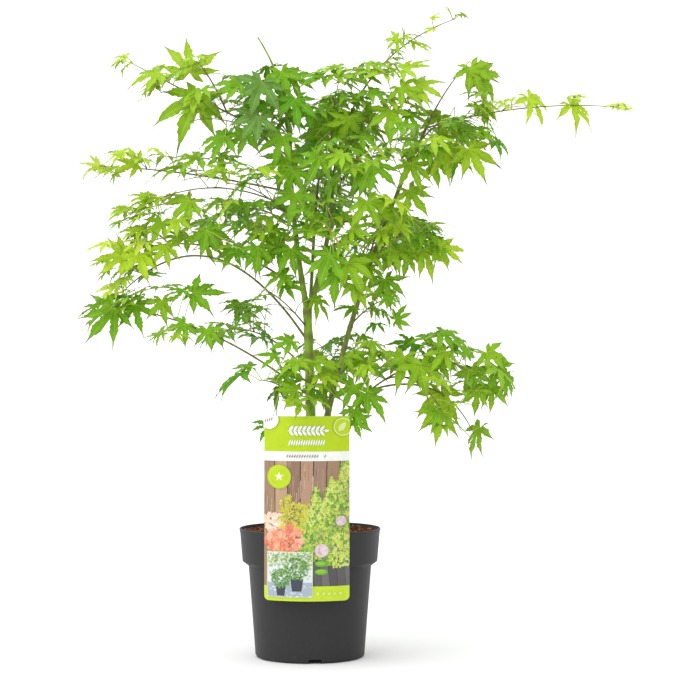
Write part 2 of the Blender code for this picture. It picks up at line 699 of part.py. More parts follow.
def trunk_widths(route):
    """The trunk's taper, opening to the root flare at its foot."""
    foot = route[0].z
    taper = widths_between(*TRUNK_WIDTHS, len(route))
    extra = FLARE_WIDTH - TRUNK_WIDTHS[0]
    flare = [max(0.0, 1 - (point.z - foot) / FLARE_HEIGHT) ** 2 * extra for point in route]
    return [width + more for width, more in zip(taper, flare)]


def extended(points, more):
    """The route made longer at both ends."""
    first = points[0] + (points[0] - points[1]).normalized() * more
    last = points[-1] + (points[-1] - points[-2]).normalized() * more
    return [first] + points[1:-1] + [last]


class Limbs:
    """The limbs built so far, each with a swollen copy that keeps later ones clear of it."""

    def __init__(self, cutters, room):
        self.cutters = cutters
        self.room = room
        self.swollen = []

    def build(self, name, points, widths, resolution, parts, finish):
        limb = new_object(name, tube_mesh(name, points, widths, resolution), parts, finish)
        shape = shape_of(limb)
        own = BVHTree.FromBMesh(shape)
        shape.free()
        for other, tree in self.swollen:
            if own.overlap(tree):
                cut = limb.modifiers.new("clear", "BOOLEAN")
                cut.object = other
        baked(limb)
        wide = [width + 2 * GAP for width in widths]
        around = tube_mesh(name, extended(points, GAP), wide, resolution)
        copy = cutter(name + "_clearance", around, self.cutters)
        shape = shape_of(copy)
        self.room.take(shape)
        self.swollen.append((copy, BVHTree.FromBMesh(shape)))
        return limb


def bough_width(spray, route):
    length = sum((b - a).length for a, b in zip(route, route[1:]))
    return BOUGH_TIP_WIDTH + BOUGH_TAPER * length * (1 - 0.3 * spray.bare)


def bark(name):
    return material(name + " bark", BARK_COLOUR, 0.55)


def build_limbs(routes, limbs, parts):
    """The trunk and the stems, then the bare bough at the start of each spray."""
    trunk = routes["trunk"]
    limbs.build("trunk", trunk, trunk_widths(trunk), TRUNK_ROUNDNESS, parts, bark("trunk"))
    for limb in LIMBS:
        route = routes[limb.name]
        widths = widths_between(limb.width * MM, limb.tip_width * MM, len(route))
        limbs.build(limb.name, route, widths, STEM_ROUNDNESS, parts, bark(limb.name))
    for spray in SPRAYS:
        if spray.bare >= BARE_BOUGH:
            name = "bough_" + spray.name
            route = part_of(routes[spray.name], 0.0, spray.bare, BOUGH_STEPS)
            widths = widths_between(bough_width(spray, route), BOUGH_TIP_WIDTH, len(route))
            limbs.build(name, route, widths, BOUGH_ROUNDNESS, parts, bark(name))


def build_stem(mass, limbs, parts):
    """The stem of a mass, which starts just clear of its bough's tip."""
    first, second = mass.stem[:2]
    points = [first + (second - first).normalized() * GAP] + mass.stem[1:]
    widths = widths_between(BOUGH_TIP_WIDTH - 0.0002, STEM_TIP_WIDTH, len(points))
    leafy = material(mass.name + " leaf", LEAF_COLOUR, 0.45)
    return limbs.build(mass.name, points, widths, 0, parts, leafy)


def build_mass(stem, mass):
    """Fuse the twigs and leaves of a mass to its stem."""
    pieces = new_collection(mass.name + "_pieces")
    shapes = [straight_shape(foot, tip, TWIG_WIDTH) for foot, tip in mass.twigs]
    shapes += [leaf_shape(leaf) for leaf in mass.leaves]
    for shape in shapes:
        mesh = bpy.data.meshes.new("piece")
        shape.to_mesh(mesh)
        shape.free()
        new_object("piece", mesh, pieces)
    join(stem, pieces)


def main():
    clear_scene()
    parts = new_collection("potted_japanese_maple")
    cutters = new_collection("cutters")
    build_pot(parts, cutters, material("charcoal plastic", (0.045, 0.045, 0.048), 0.5))
    build_potting_mix(parts, material("coir mix", (0.14, 0.055, 0.022), 0.95))
    label = build_label(parts, material("printed card", (0.52, 0.75, 0.02), 0.35))

    room = Room()
    room.take(shape_of(label))
    routes = routes_of_limbs()
    limbs = Limbs(cutters, room)
    build_limbs(routes, limbs, parts)
    masses = [Mass(spray, routes[spray.name], FIRST_SEED + number) for number, spray in enumerate(SPRAYS)]
    stems = [build_stem(mass, limbs, parts) for mass in masses]
    grow(masses, room)
    for stem, mass in zip(stems, masses):
        build_mass(stem, mass)


main()
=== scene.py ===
"""The looks of a young japanese maple in a black nursery pot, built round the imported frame.

The limbs and the masses of foliage are those of the solid model: the same tables, seats and
reaches. Here each mass grows on from them to finer twigs and to thin, toothed leaves.
"""

import math
import random
from typing import NamedTuple

import bmesh
import bpy
import numpy as np
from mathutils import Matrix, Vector, noise
from mathutils.bvhtree import BVHTree


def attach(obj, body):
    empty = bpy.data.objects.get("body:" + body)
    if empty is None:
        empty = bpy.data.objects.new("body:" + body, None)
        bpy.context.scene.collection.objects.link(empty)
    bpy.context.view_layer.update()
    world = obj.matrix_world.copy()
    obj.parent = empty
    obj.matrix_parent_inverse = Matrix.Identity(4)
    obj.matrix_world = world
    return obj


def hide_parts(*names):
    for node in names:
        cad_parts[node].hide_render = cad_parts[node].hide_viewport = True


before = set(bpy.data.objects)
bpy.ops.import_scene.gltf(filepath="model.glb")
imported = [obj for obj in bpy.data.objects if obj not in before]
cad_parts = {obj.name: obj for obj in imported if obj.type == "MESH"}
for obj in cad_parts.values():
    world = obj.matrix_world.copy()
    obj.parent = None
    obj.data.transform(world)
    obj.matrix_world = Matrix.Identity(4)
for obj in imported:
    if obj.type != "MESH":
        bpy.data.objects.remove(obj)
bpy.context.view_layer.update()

MM = 0.001  # the tables of limbs and sprays are in millimetres, and all else is in metres
UP = Vector((0.0, 0.0, 1.0))

# ---- sizes shared with the solids, in metres
GAP = 0.0003
POT_RIM_RADIUS = 0.0950
POT_HEIGHT = 0.1730
POT_WALL = 0.0018
POT_BODY_TOP_RADIUS = 0.0825
POT_BODY_FOOT_RADIUS = 0.0735
COLLAR_FOOT = 0.1280
COLLAR_FOOT_RADIUS = 0.0908
BODY_TOP = 0.1230
FOOT_ROUNDING = 0.0040
FOOT_RING_WIDTH = 0.0090
FOOT_RECESS = 0.0040
CENTRE_PAD_RADIUS = 0.0120
FLOOR_THICKNESS = 0.0022
NOTCH_WIDTH = 0.0170
NOTCH_HEIGHT = 0.0055
NOTCH_TURN = math.radians(6.5)
MIX_CROWN_HEIGHT = 0.1660
MIX_FLUFF = 0.0022  # loose fibre and chips stand this much higher than the firm bed
LABEL_WIDTH = 0.1107
LABEL_FOOT = 0.0850
LABEL_TOP = 0.3260
LABEL_THICKNESS = 0.0008
LABEL_CORNER = 0.0060
LABEL_TURN = math.radians(-1.9)
TRUNK_TOP = (-0.004, 0.000, 0.4700)
TRUNK_BOW = (0.003, 0.0, 0.0)
TRUNK_WIDTHS = (0.0160, 0.0112)
FLARE_WIDTH = 0.0260
FLARE_HEIGHT = 0.0180
BOUGH_TIP_WIDTH = 0.0024
BOUGH_TAPER = 0.0050
STEM_TIP_WIDTH = 0.0012
BARE_BOUGH = 0.39  # a spray with this bare share or more has a bough of its own
CROWN_FLATNESS = 2.5  # how much more leaves face to front or back than aside
CROWN_MIDDLE_Y = 0.0300

# ---- finer sizes of pot, mix and label, in metres
LIP_ROUNDING = 0.0016
COLLAR_ROUNDING = 0.0012
SHOULDER_ROUNDING = 0.0016
NOTCH_LENGTH = 0.0340
POT_STEPS = 160
SHARPEST_BEND = math.radians(35)  # edges that turn by more than this are drawn sharp
MIX_FLAT = 0.0300
MIX_SLOPE = 0.0010 / 0.0610  # how the mix falls away outside its flat middle
MIX_LUMPS = ((0.0016, 60, 1.0), (0.0009, 190, 4.0))  # height, fineness, and layer of the noise
BED_RADIUS = 0.0911
BED_FOOT = (0.0865, 0.1310)  # the radius and height of the bed's hidden edge
BED_RINGS, BED_TURNS = 30, 96
CHIPS = 1300
CHIP_SIZE = (0.0016, 0.0044)
FIBRES = 900
FIBRE_RADIUS = 0.00022
FIBRE_STEPS = 6
CARD_RADIUS = POT_RIM_RADIUS + GAP
CARD_STRIP = 0.0040  # printed shapes are split into strips this wide, so that they follow the card's curve
INK_LAYER = 0.00006
FENCE_PLANKS = 7
LIME, WHITE = (188, 216, 6), (250, 251, 246)
LABEL_HALF = LABEL_WIDTH / 2
LABEL_TALL = LABEL_TOP - LABEL_FOOT
HEADER = (-LABEL_HALF, LABEL_TALL - 0.0462, LABEL_HALF, LABEL_TALL - 0.0002)
PICTURE = (-LABEL_HALF, 0.0195, LABEL_HALF, LABEL_TALL - 0.0585)
INSET = (-LABEL_HALF + 0.0046, 0.0046, -LABEL_HALF + 0.0640, 0.0646)
INSET_BORDER = 0.0009
TONGUE_HALF_WIDTH = 0.0070
TONGUE_THICKNESS = 0.0012
TONGUE_DROP = 0.0070


class Limb(NamedTuple):
    """One bowed, tapering limb, in millimetres."""

    name: str
    carrier: str
    at: float
    tip: tuple
    bow: tuple
    width: float
    tip_width: float


class Spray(NamedTuple):
    """A bough and the foliage on it, in millimetres."""

    name: str
    carrier: str
    at: float
    tip: tuple
    bow: tuple
    bare: float
    spread: float
    rise: float
    blade: float
    lime: float  # from 0, the dark green of the middle, to 1, the pale lime of a fresh tip
    tip_blade: float = 0.8
    leafy_to: float = 1.0
    spacing: float = 24


class Placed(NamedTuple):
    """A leaf that is given one by one, in millimetres: most stand at the edge of the crown."""

    heart: tuple
    axis: tuple
    normal: tuple
    length: float
    lime: float


LIMBS = (
    Limb("left_stem", "trunk", 0.985, (-26, -16, 705), (-6, -4, 0), 8.5, 4.2),
    Limb("mid_stem", "trunk", 0.975, (30, 8, 640), (8, 4, 0), 8.5, 4.2),
    Limb("back_stem", "trunk", 0.800, (10, 40, 640), (-2, 12, 0), 5.6, 3.4),
    Limb("right_stem", "trunk", 0.075, (166, -4, 731), (-24, -14, 0), 9.5, 3.6),
)

SPRAYS = (
    # the right-hand side, from the top down
    Spray("top_right", "mid_stem", 1.00, (196, 12, 860), (-30, 0, 30), 0.50, 46, 36, 34, 0.75, 0.5, 1.0, 44),
    Spray("top_right_low", "mid_stem", 0.94, (126, -34, 742), (-10, 0, 22), 0.30, 66, 50, 52, 0.45),
    Spray("far_right", "right_stem", 0.96, (411, 4, 740), (0, 0, 12), 0.28, 50, 44, 44, 0.90, 0.6, 1.0, 90),
    Spray("right_top", "right_stem", 1.00, (214, -6, 800), (-2, 0, 2), 0.30, 64, 52, 52, 0.50, 0.8, 1.0, 30),
    Spray("right_high", "right_stem", 0.92, (232, -34, 700), (0, 0, 26), 0.20, 64, 56, 52, 0.42),
    Spray("right_high_back", "right_stem", 0.86, (200, 90, 690), (0, 10, 20), 0.38, 64, 50, 52, 0.50),
    Spray("right_shoulder", "right_stem", 0.76, (150, -64, 680), (0, -8, 16), 0.15, 66, 50, 54, 0.42),
    Spray("right_mid", "right_stem", 0.62, (160, -22, 560), (0, 0, 20), 0.15, 64, 50, 52, 0.42),
    Spray("right_mid_front", "right_stem", 0.52, (106, -94, 594), (0, -10, 20), 0.10, 66, 52, 54, 0.45),
    Spray("right_mid_back", "right_stem", 0.54, (146, 120, 580), (0, 10, 20), 0.38, 66, 50, 54, 0.40),
    Spray("right_mid_low", "right_stem", 0.46, (104, -36, 480), (0, 0, 6), 0.20, 50, 40, 42, 0.40),
    Spray("low_right", "right_stem", 0.18, (248, -22, 366), (4, -10, 62), 0.46, 64, 54, 52, 0.38),
    Spray("low_right_middle", "low_right", 0.42, (176, -54, 332), (0, 0, 20), 0.20, 62, 56, 56, 0.42),
    Spray(
        "low_right_hanging", "low_right", 0.34, (220, -6, 300), (14, 0, 30),
        0.60, 46, 50, 46, 0.50, spacing=40,
    ),
    Spray("low_right_inner", "right_stem", 0.32, (84, -66, 386), (0, 0, 18), 0.20, 62, 42, 54, 0.48),
    # the middle, from the top down
    Spray("top_middle", "mid_stem", 0.97, (40, -24, 776), (-6, -6, 0), 0.16, 70, 48, 54, 0.35),
    Spray("top_back", "back_stem", 1.00, (60, 120, 740), (0, 0, 10), 0.20, 70, 50, 56, 0.40),
    Spray("middle_front", "mid_stem", 0.70, (66, -96, 660), (0, -10, 20), 0.15, 70, 50, 56, 0.40),
    Spray("middle_low_front", "mid_stem", 0.42, (30, -110, 566), (0, -10, 16), 0.15, 68, 48, 56, 0.40),
    Spray("middle_back", "back_stem", 0.62, (20, 190, 620), (0, 0, 30), 0.38, 72, 50, 56, 0.35),
    Spray("low_front", "trunk", 0.60, (-2, -88, 352), (0, 0, 20), 0.12, 64, 44, 56, 0.46),
    Spray("low_back", "trunk", 0.60, (50, 160, 388), (0, 0, 26), 0.40, 66, 46, 54, 0.35),
    # the left-hand side, from the top down
    Spray("leader", "left_stem", 1.00, (-70, -8, 832), (6, 0, 6), 0.04, 64, 40, 54, 0.25, 0.8, 0.56),
    Spray("top_left_near", "left_stem", 0.97, (-104, -40, 756), (0, 0, 14), 0.15, 64, 44, 56, 0.25),
    Spray("top_left", "left_stem", 0.93, (-240, 20, 800), (6, 0, -4), 0.50, 60, 54, 54, 0.62, 0.5, 1.0, 56),
    Spray(
        "top_left_standing", "top_left", 0.40, (-146, -4, 794), (0, 0, 4),
        0.60, 76, 46, 54, 0.62, tip_blade=1.0, spacing=40,
    ),
    Spray("upper_left", "left_stem", 0.84, (-160, -34, 716), (0, 0, 22), 0.30, 66, 46, 54, 0.45),
    Spray("upper_left_back", "left_stem", 0.80, (-110, 130, 720), (0, 10, 20), 0.30, 70, 50, 56, 0.35),
    Spray("left_shoot", "left_stem", 0.66, (-284, 0, 660), (0, 0, 6), 0.40, 50, 40, 48, 0.80, 0.6, 1.0, 36),
    Spray("left_mid", "left_stem", 0.56, (-240, -14, 596), (0, 0, 32), 0.38, 56, 40, 48, 0.65, 0.7),
    Spray("left_mid_front", "left_stem", 0.50, (-106, -100, 628), (0, -10, 12), 0.18, 68, 48, 54, 0.45),
    Spray("left_low_front", "left_stem", 0.30, (-88, -60, 540), (0, 0, 12), 0.18, 62, 44, 50, 0.40),
    Spray("left_inner", "trunk", 0.90, (-58, -50, 492), (0, 0, 6), 0.20, 60, 42, 50, 0.35, 0.8, 1.0, 60),
    Spray("left_mid_back", "left_stem", 0.46, (-140, 140, 600), (0, 0, 20), 0.40, 70, 48, 54, 0.40),
    Spray("left_lime", "left_stem", 0.10, (-254, -6, 540), (0, 0, 36), 0.52, 60, 42, 52, 0.80),
    Spray("left_arch", "trunk", 0.84, (-254, 10, 490), (0, 0, 80), 0.78, 48, 34, 40, 0.55, 0.8),
    Spray("low_left", "trunk", 0.60, (-266, -12, 470), (0, 0, 24), 0.64, 66, 54, 60, 0.40),
    Spray("low_left_near", "low_left", 0.50, (-180, -50, 440), (0, 0, 6), 0.0, 54, 38, 48, 0.40),
    Spray("low_left_inner", "trunk", 0.52, (-66, -60, 372), (0, 0, 12), 0.16, 62, 42, 56, 0.36, 0.8, 1.0, 36),
    Spray("low_left_back", "trunk", 0.70, (-120, 120, 440), (0, 0, 20), 0.40, 66, 46, 54, 0.35),
)

# the leaves given one by one on each spray: heart, axis, normal, length and lime
PLACED = {
    "top_right": (
        ((119, 0, 832), (-0.8, 0.0, -0.6), (0.3, -0.6, 0.7), 28, 0.60),
        ((138, 2, 826), (1.0, 0.0, -0.12), (0.0, -0.4, 0.9), 36, 0.70),
        ((168, 6, 846), (-1.0, 0.0, -0.1), (0.0, -0.4, 0.9), 26, 0.85),
    ),
    "top_right_low": (
        ((100, -32, 782), (-0.7, -0.2, 0.1), (0.0, -0.5, 0.9), 46, 0.60),
        ((124, -30, 786), (0.75, -0.2, 0.05), (0.0, -0.6, 0.8), 46, 0.65),
        ((121, -40, 761), (0.6, -0.3, -0.5), (0.0, -0.8, 0.5), 44, 0.50),
        ((142, -30, 764), (0.7, -0.2, -0.2), (0.0, -0.7, 0.7), 46, 0.62),
        ((108, -40, 730), (-0.2, -0.3, -0.9), (0.0, -0.9, 0.5), 48, 0.42),
    ),
    "far_right": (
        ((294, 0, 753), (0.62, -0.1, -0.78), (0.4, -0.6, 0.7), 50, 0.85),
        ((272, 4, 750), (-1.0, 0.1, -0.15), (0.0, -0.3, 1.0), 34, 0.90),
        ((350, 4, 744), (0.75, -0.1, -0.65), (0.45, -0.6, 0.5), 48, 0.85),
        ((420, 4, 743), (-1.0, 0.0, -0.05), (0.0, -0.3, 1.0), 32, 0.95),
        ((419, 4, 742), (1.0, 0.0, -0.1), (0.0, -0.4, 1.0), 24, 0.95),
    ),
    "right_top": (
        ((216, -8, 792), (0.45, -0.2, -0.85), (0.1, -1.0, 0.3), 50, 0.48),
        ((229, 4, 787), (0.6, 0.2, -0.75), (0.3, -0.8, 0.5), 56, 0.45),
    ),
    "right_high": (
        ((180, -38, 676), (0.2, -0.2, -0.95), (0.1, -0.9, 0.4), 50, 0.60),
        ((211, -40, 679), (0.5, -0.2, -0.8), (0.1, -0.9, 0.4), 52, 0.70),
        ((166, -30, 664), (0.2, -0.2, -0.95), (0.1, -0.9, 0.3), 40, 0.55),
    ),
    "right_shoulder": (
        ((132, -44, 624), (0.5, -0.2, -0.7), (0.1, -0.8, 0.5), 44, 0.50),
        ((134, -58, 658), (0.3, -0.3, -0.9), (0.1, -0.9, 0.4), 46, 0.45),
    ),
    "right_mid": (
        ((152, -26, 546), (0.4, -0.2, -0.9), (0.1, -0.9, 0.4), 44, 0.60),
        ((174, -24, 548), (0.8, -0.2, -0.5), (0.2, -0.8, 0.5), 42, 0.80),
        ((114, -34, 546), (0.1, -0.2, -1.0), (0.0, -1.0, 0.3), 40, 0.45),
        ((132, -30, 540), (-0.3, -0.2, -0.9), (0.1, -1.0, 0.3), 36, 0.50),
    ),
    "right_mid_front": (
        ((76, -98, 606), (0.3, -0.3, -0.8), (0.0, -0.8, 0.6), 50, 0.42),
        ((70, -80, 646), (0.1, -0.3, -0.9), (0.1, -0.9, 0.4), 38, 0.40),
    ),
    "right_mid_low": (
        ((114, -38, 452), (0.7, -0.2, 0.35), (-0.3, -1.0, 0.3), 30, 0.35),
        ((100, -38, 506), (0.3, -0.2, -0.9), (0.1, -0.9, 0.4), 44, 0.40),
    ),
    "low_right": (
        ((236, -26, 409), (0.6, -0.2, -0.6), (0.2, -0.8, 0.6), 42, 0.50),
        ((250, -26, 390), (0.3, -0.1, -0.95), (0.2, -0.9, 0.3), 46, 0.40),
        ((215, -28, 386), (0.3, -0.2, -0.9), (-0.1, -0.9, 0.4), 44, 0.55),
        ((242, -26, 362), (0.1, -0.2, -1.0), (0.0, -0.9, 0.4), 38, 0.50),
        ((262, -20, 376), (0.0, 0.0, -1.0), (0.8, -0.5, 0.2), 40, 0.40),
        ((168, -40, 402), (0.5, -0.3, -0.8), (0.2, -0.8, 0.5), 46, 0.50),
    ),
    "low_right_middle": (
        ((126, -46, 404), (-0.3, -0.3, -0.9), (-0.1, -0.9, 0.4), 50, 0.45),
        ((146, -52, 392), (0.2, -0.3, -0.9), (0.1, -0.9, 0.4), 52, 0.45),
    ),
    "low_right_hanging": (
        ((176, -10, 356), (-0.1, -0.2, -1.0), (-0.1, -1.0, 0.3), 54, 0.60),
        ((173, -16, 331), (-0.05, -0.3, -1.0), (0.1, -1.0, 0.3), 46, 0.65),
        ((229, -6, 308), (-0.4, -0.1, -0.9), (-0.8, -0.5, 0.4), 48, 0.50),
        ((222, -38, 358), (0.0, -0.2, -1.0), (0.0, -1.0, 0.3), 34, 0.52),
    ),
    "low_right_inner": (
        ((60, -58, 366), (-0.4, -0.3, -0.8), (0.0, -0.8, 0.6), 44, 0.35),
        ((76, -62, 354), (0.6, -0.3, -0.75), (0.2, -0.7, 0.6), 44, 0.35),
        ((60, -62, 334), (0.2, -0.2, -0.9), (0.3, -0.9, 0.4), 34, 0.30),
        ((58, -60, 320), (0.8, -0.1, -0.5), (0.1, -0.9, 0.3), 34, 0.30),
    ),
    "top_middle": (
        ((18, -30, 777), (-0.7, -0.2, -0.2), (0.0, -0.5, 0.8), 46, 0.40),
        ((32, -34, 779), (0.6, -0.3, -0.1), (0.0, -0.6, 0.8), 42, 0.45),
        ((62, -30, 782), (0.8, -0.2, -0.2), (0.0, -0.6, 0.8), 44, 0.40),
        ((40, -26, 790), (-0.8, -0.1, -0.1), (0.0, -0.4, 0.9), 42, 0.42),
        ((78, -26, 792), (0.7, -0.1, 0.0), (0.0, -0.4, 0.9), 42, 0.45),
    ),
    "middle_front": (
        ((84, -92, 654), (0.1, -0.3, -0.9), (0.1, -0.9, 0.5), 50, 0.38),
        ((14, -70, 666), (-0.3, -0.3, -0.8), (0.0, -0.9, 0.5), 48, 0.35),
    ),
    "middle_low_front": (
        ((28, -104, 535), (-0.3, -0.2, -0.85), (0.0, -0.8, 0.5), 50, 0.40),
        ((51, -100, 526), (0.3, -0.2, -0.8), (0.0, -0.8, 0.5), 50, 0.50),
        ((34, -98, 511), (0.0, -0.1, -1.0), (0.0, -0.9, 0.3), 42, 0.40),
        ((58, -94, 498), (0.5, -0.2, -0.6), (0.1, -0.8, 0.5), 40, 0.50),
    ),
    "middle_back": (
        ((20, 204, 606), (0.1, 1.0, -0.2), (0.0, 0.3, 1.0), 47, 0.40),
    ),
    "leader": (
        ((-38, -28, 784), (0.4, -0.3, -0.9), (0.1, -0.9, 0.4), 42, 0.30),
    ),
    "top_left_near": (
        ((-62, -54, 766), (-0.3, -0.3, -0.9), (0.0, -0.95, 0.3), 58, 0.02),
        ((-92, -46, 764), (-0.9, -0.3, -0.3), (0.0, -0.7, 0.7), 46, 0.25),
    ),
    "top_left": (
        ((-151, -6, 752), (-0.42, -0.25, -0.9), (-0.1, -1.0, 0.3), 74, 0.50),
        ((-189, 12, 780), (-1.0, 0.0, -0.3), (0.0, -0.35, 1.0), 56, 0.62),
        ((-250, 20, 811), (-1.0, 0.0, -0.15), (0.0, -0.4, 1.0), 34, 0.85),
        ((-202, 0, 786), (-1.0, -0.1, -0.35), (0.0, -0.6, 0.8), 52, 0.66),
        ((-206, 6, 771), (-0.8, -0.1, -0.5), (-0.2, -0.4, 0.9), 40, 0.65),
    ),
    "top_left_standing": (
        ((-162, -2, 785), (0.04, 0.1, 1.0), (0.0, -1.0, 0.1), 60, 0.66),
    ),
    "upper_left": (
        ((-112, -38, 696), (-0.9, -0.2, -0.6), (-0.1, -0.6, 0.8), 50, 0.40),
        ((-84, -34, 700), (-0.7, -0.3, -0.5), (0.0, -0.7, 0.7), 46, 0.30),
        ((-34, -34, 668), (-0.2, -0.3, -0.9), (0.0, -0.9, 0.5), 48, 0.30),
        ((-22, -40, 650), (0.5, -0.3, -0.8), (0.0, -0.9, 0.5), 44, 0.40),
        ((-36, -40, 696), (-0.3, -0.3, -0.8), (0.0, -0.9, 0.5), 44, 0.30),
        ((-18, -42, 746), (0.0, -0.3, -0.9), (0.0, -0.9, 0.5), 46, 0.20),
        ((-68, -54, 720), (-0.5, -0.4, -0.6), (0.0, -0.9, 0.5), 54, 0.08),
    ),
    "left_shoot": (
        ((-283, 0, 657), (-0.65, 0.0, 0.7), (0.6, -0.5, 0.6), 32, 0.95),
        ((-279, 2, 656), (-0.9, 0.0, 0.35), (0.3, -0.4, 0.9), 33, 0.95),
        ((-231, -4, 662), (-0.9, -0.1, 0.25), (0.1, -0.9, 0.5), 40, 0.90),
        ((-170, -4, 658), (-1.0, -0.1, -0.1), (0.0, -0.35, 1.0), 52, 0.55),
        ((-147, -10, 670), (-0.9, -0.2, -0.1), (0.0, -0.4, 1.0), 54, 0.50),
        ((-122, -14, 671), (0.6, -0.3, -0.2), (0.0, -0.5, 0.9), 44, 0.45),
    ),
    "left_mid": (
        ((-198, -18, 584), (-0.3, -0.2, -0.9), (0.0, -1.0, 0.4), 38, 0.55),
        ((-246, -14, 597), (-1.0, 0.0, 0.05), (0.0, -0.4, 0.9), 36, 0.85),
        ((-160, -16, 612), (-0.6, -0.2, -0.5), (-0.1, -0.8, 0.6), 46, 0.50),
        ((-214, -16, 612), (-0.9, -0.1, -0.1), (0.0, -0.5, 0.9), 38, 0.70),
    ),
    "left_mid_front": (
        ((-18, -70, 618), (-0.2, -0.3, -0.9), (0.0, -0.9, 0.5), 48, 0.30),
    ),
    "left_low_front": (
        ((-68, -60, 548), (0.1, -0.3, -0.9), (0.0, -0.9, 0.4), 40, 0.40),
        ((-138, -30, 572), (0.4, -0.2, -0.6), (0.0, -0.8, 0.5), 44, 0.40),
        ((-24, -50, 546), (0.1, -0.3, -0.9), (0.0, -0.9, 0.5), 44, 0.35),
    ),
    "left_inner": (
        ((-30, -50, 512), (-0.8, -0.2, -0.3), (0.0, -0.6, 0.8), 42, 0.35),
    ),
    "left_lime": (
        ((-249, -10, 537), (-1.0, -0.1, 0.05), (0.0, -0.9, 0.5), 50, 0.85),
        ((-228, -14, 541), (-0.55, -0.2, -0.75), (-0.1, -0.9, 0.4), 46, 0.80),
        ((-194, -16, 552), (0.2, -0.2, -0.9), (0.0, -0.9, 0.4), 36, 0.60),
        ((-104, -14, 548), (-0.2, -0.2, -0.9), (0.0, -0.9, 0.4), 36, 0.40),
        ((-166, -14, 560), (-0.8, -0.2, 0.1), (0.0, -0.5, 0.9), 42, 0.50),
    ),
    "left_arch": (
        ((-259, 8, 499), (-1.0, 0.0, -0.2), (0.0, -0.5, 0.9), 40, 0.95),
    ),
    "low_left": (
        ((-262, -18, 467), (-0.55, -0.2, -0.8), (-0.05, -1.0, 0.3), 60, 0.35),
        ((-234, -14, 474), (0.2, -0.25, -0.95), (0.0, -1.0, 0.3), 46, 0.35),
        ((-198, -18, 479), (0.1, -0.2, -1.0), (0.0, -1.0, 0.2), 36, 0.45),
        ((-156, -30, 488), (1.0, -0.1, -0.1), (0.0, -0.7, 0.7), 50, 0.35),
        ((-166, -26, 491), (-0.9, -0.2, -0.2), (0.0, -0.4, 1.0), 36, 0.40),
    ),
    "low_left_near": (
        ((-164, -48, 446), (-0.6, -0.2, -0.7), (-0.1, -0.9, 0.4), 36, 0.26),
        ((-136, -46, 440), (0.2, -0.2, -0.95), (0.0, -0.9, 0.4), 34, 0.28),
    ),
    "low_left_inner": (
        ((-88, -58, 381), (-0.80, -0.1, -0.6), (-0.45, -0.2, 0.8), 54, 0.20),
        ((-50, -56, 312), (-0.95, -0.1, -0.15), (-0.1, -0.6, 0.8), 36, 0.20),
        ((-42, -60, 404), (-0.9, -0.2, 0.0), (0.0, -0.5, 0.9), 36, 0.35),
        ((-22, -52, 424), (-0.8, -0.3, -0.3), (0.0, -0.7, 0.7), 36, 0.28),
    ),
}

# ---- growth
FIRST_SEED = 400
LIMB_STEPS = 48
LIMB_SIDES = 16
TRUNK_RINGS, LIMB_RINGS, BOUGH_RINGS = 150, 140, 60
STEM_STEPS = 24
TWIGGY_SHARE = 0.62  # the first share of a stem has side twigs, and the rest has leaves alone
TWIGGY_SPREAD = 46  # narrower sprays have no side twigs
TWIG_RANGE = (0.45, 0.80)
TWIG_TAPER = (1.15, 0.5)  # a twig's length at the stem's foot, and how much of it is lost by the stem's tip
TWIG_FORWARD = 0.7
TWIG_STRAY = 0.3
TWIG_MIDDLE = (0.42, 0.62)
TWIG_BEND = (0.10, 0.04)  # how far a twig bends any way and upwards, as shares of its length
TWIG_STEPS = 6
TWIG_WIDTHS = (0.0014, 0.0009)
PETIOLE_WIDTHS = (0.00156, 0.00104)
STALK_STEPS = 4
BLADE_RANGE = (0.72, 1.08)
STALK_RANGE = (0.40, 0.85)
STALK_FORWARD = (0.2, 0.8)
STALK_LIFT = (-0.1, 0.6)
STALK_ARCH = (0.02, 0.10)
OUTWARD_PULL = 0.4
DROOP_RANGE = (-10, 42)
LEAST_LEAN = 0.2  # a blade that points less than this along its stalk is swung forward
SWUNG_LEAN = 0.4
TILT_RANGE = (0.0, 1.1)
TILT_STRAY = 0.8
CUP_RANGE = (0.0, 0.22)
PLACED_CUP = 0.06
LIME_RISE = 0.13  # how much paler the leaves are from the middle of a stem to its tip
LIME_STRAY = 0.10
FIRST_TURN = (-0.4, 0.4)
NODE_TURN = (50, 80)
NODE_START = 0.35  # where the first pair stands, as a share of the distance between pairs
LOOSENESS = (0.40, 0.12)  # how freely a leaf is turned at the first try, and how much more at each later one
TRIES = 22
STALK_KNEE = 0.3  # the first part of a stalk may stand close to its stem and needs no room
COARSE_STALK = 0.0006
ELBOW_ROOM = 1.03  # a leaf needs the room of a blade this much longer
END_SEATS = (0.0050, 0.0032, 0.0012)  # how far short of a tip its three leaves stand
TIP_WAY = (0.6, -0.3)  # the last leaf leads on along its twig, and down
BARE_TIP_WIDTHS = (0.0042, 0.0022)  # a stem that stands bare past its last leaves
# the outline that stands for a blade while room is sought: degrees, and share of the blade's length
COARSE_LOBES = ((0, 1.00), (20, 0.44), (40, 0.95), (61, 0.40), (82, 0.76), (120, 0.36))

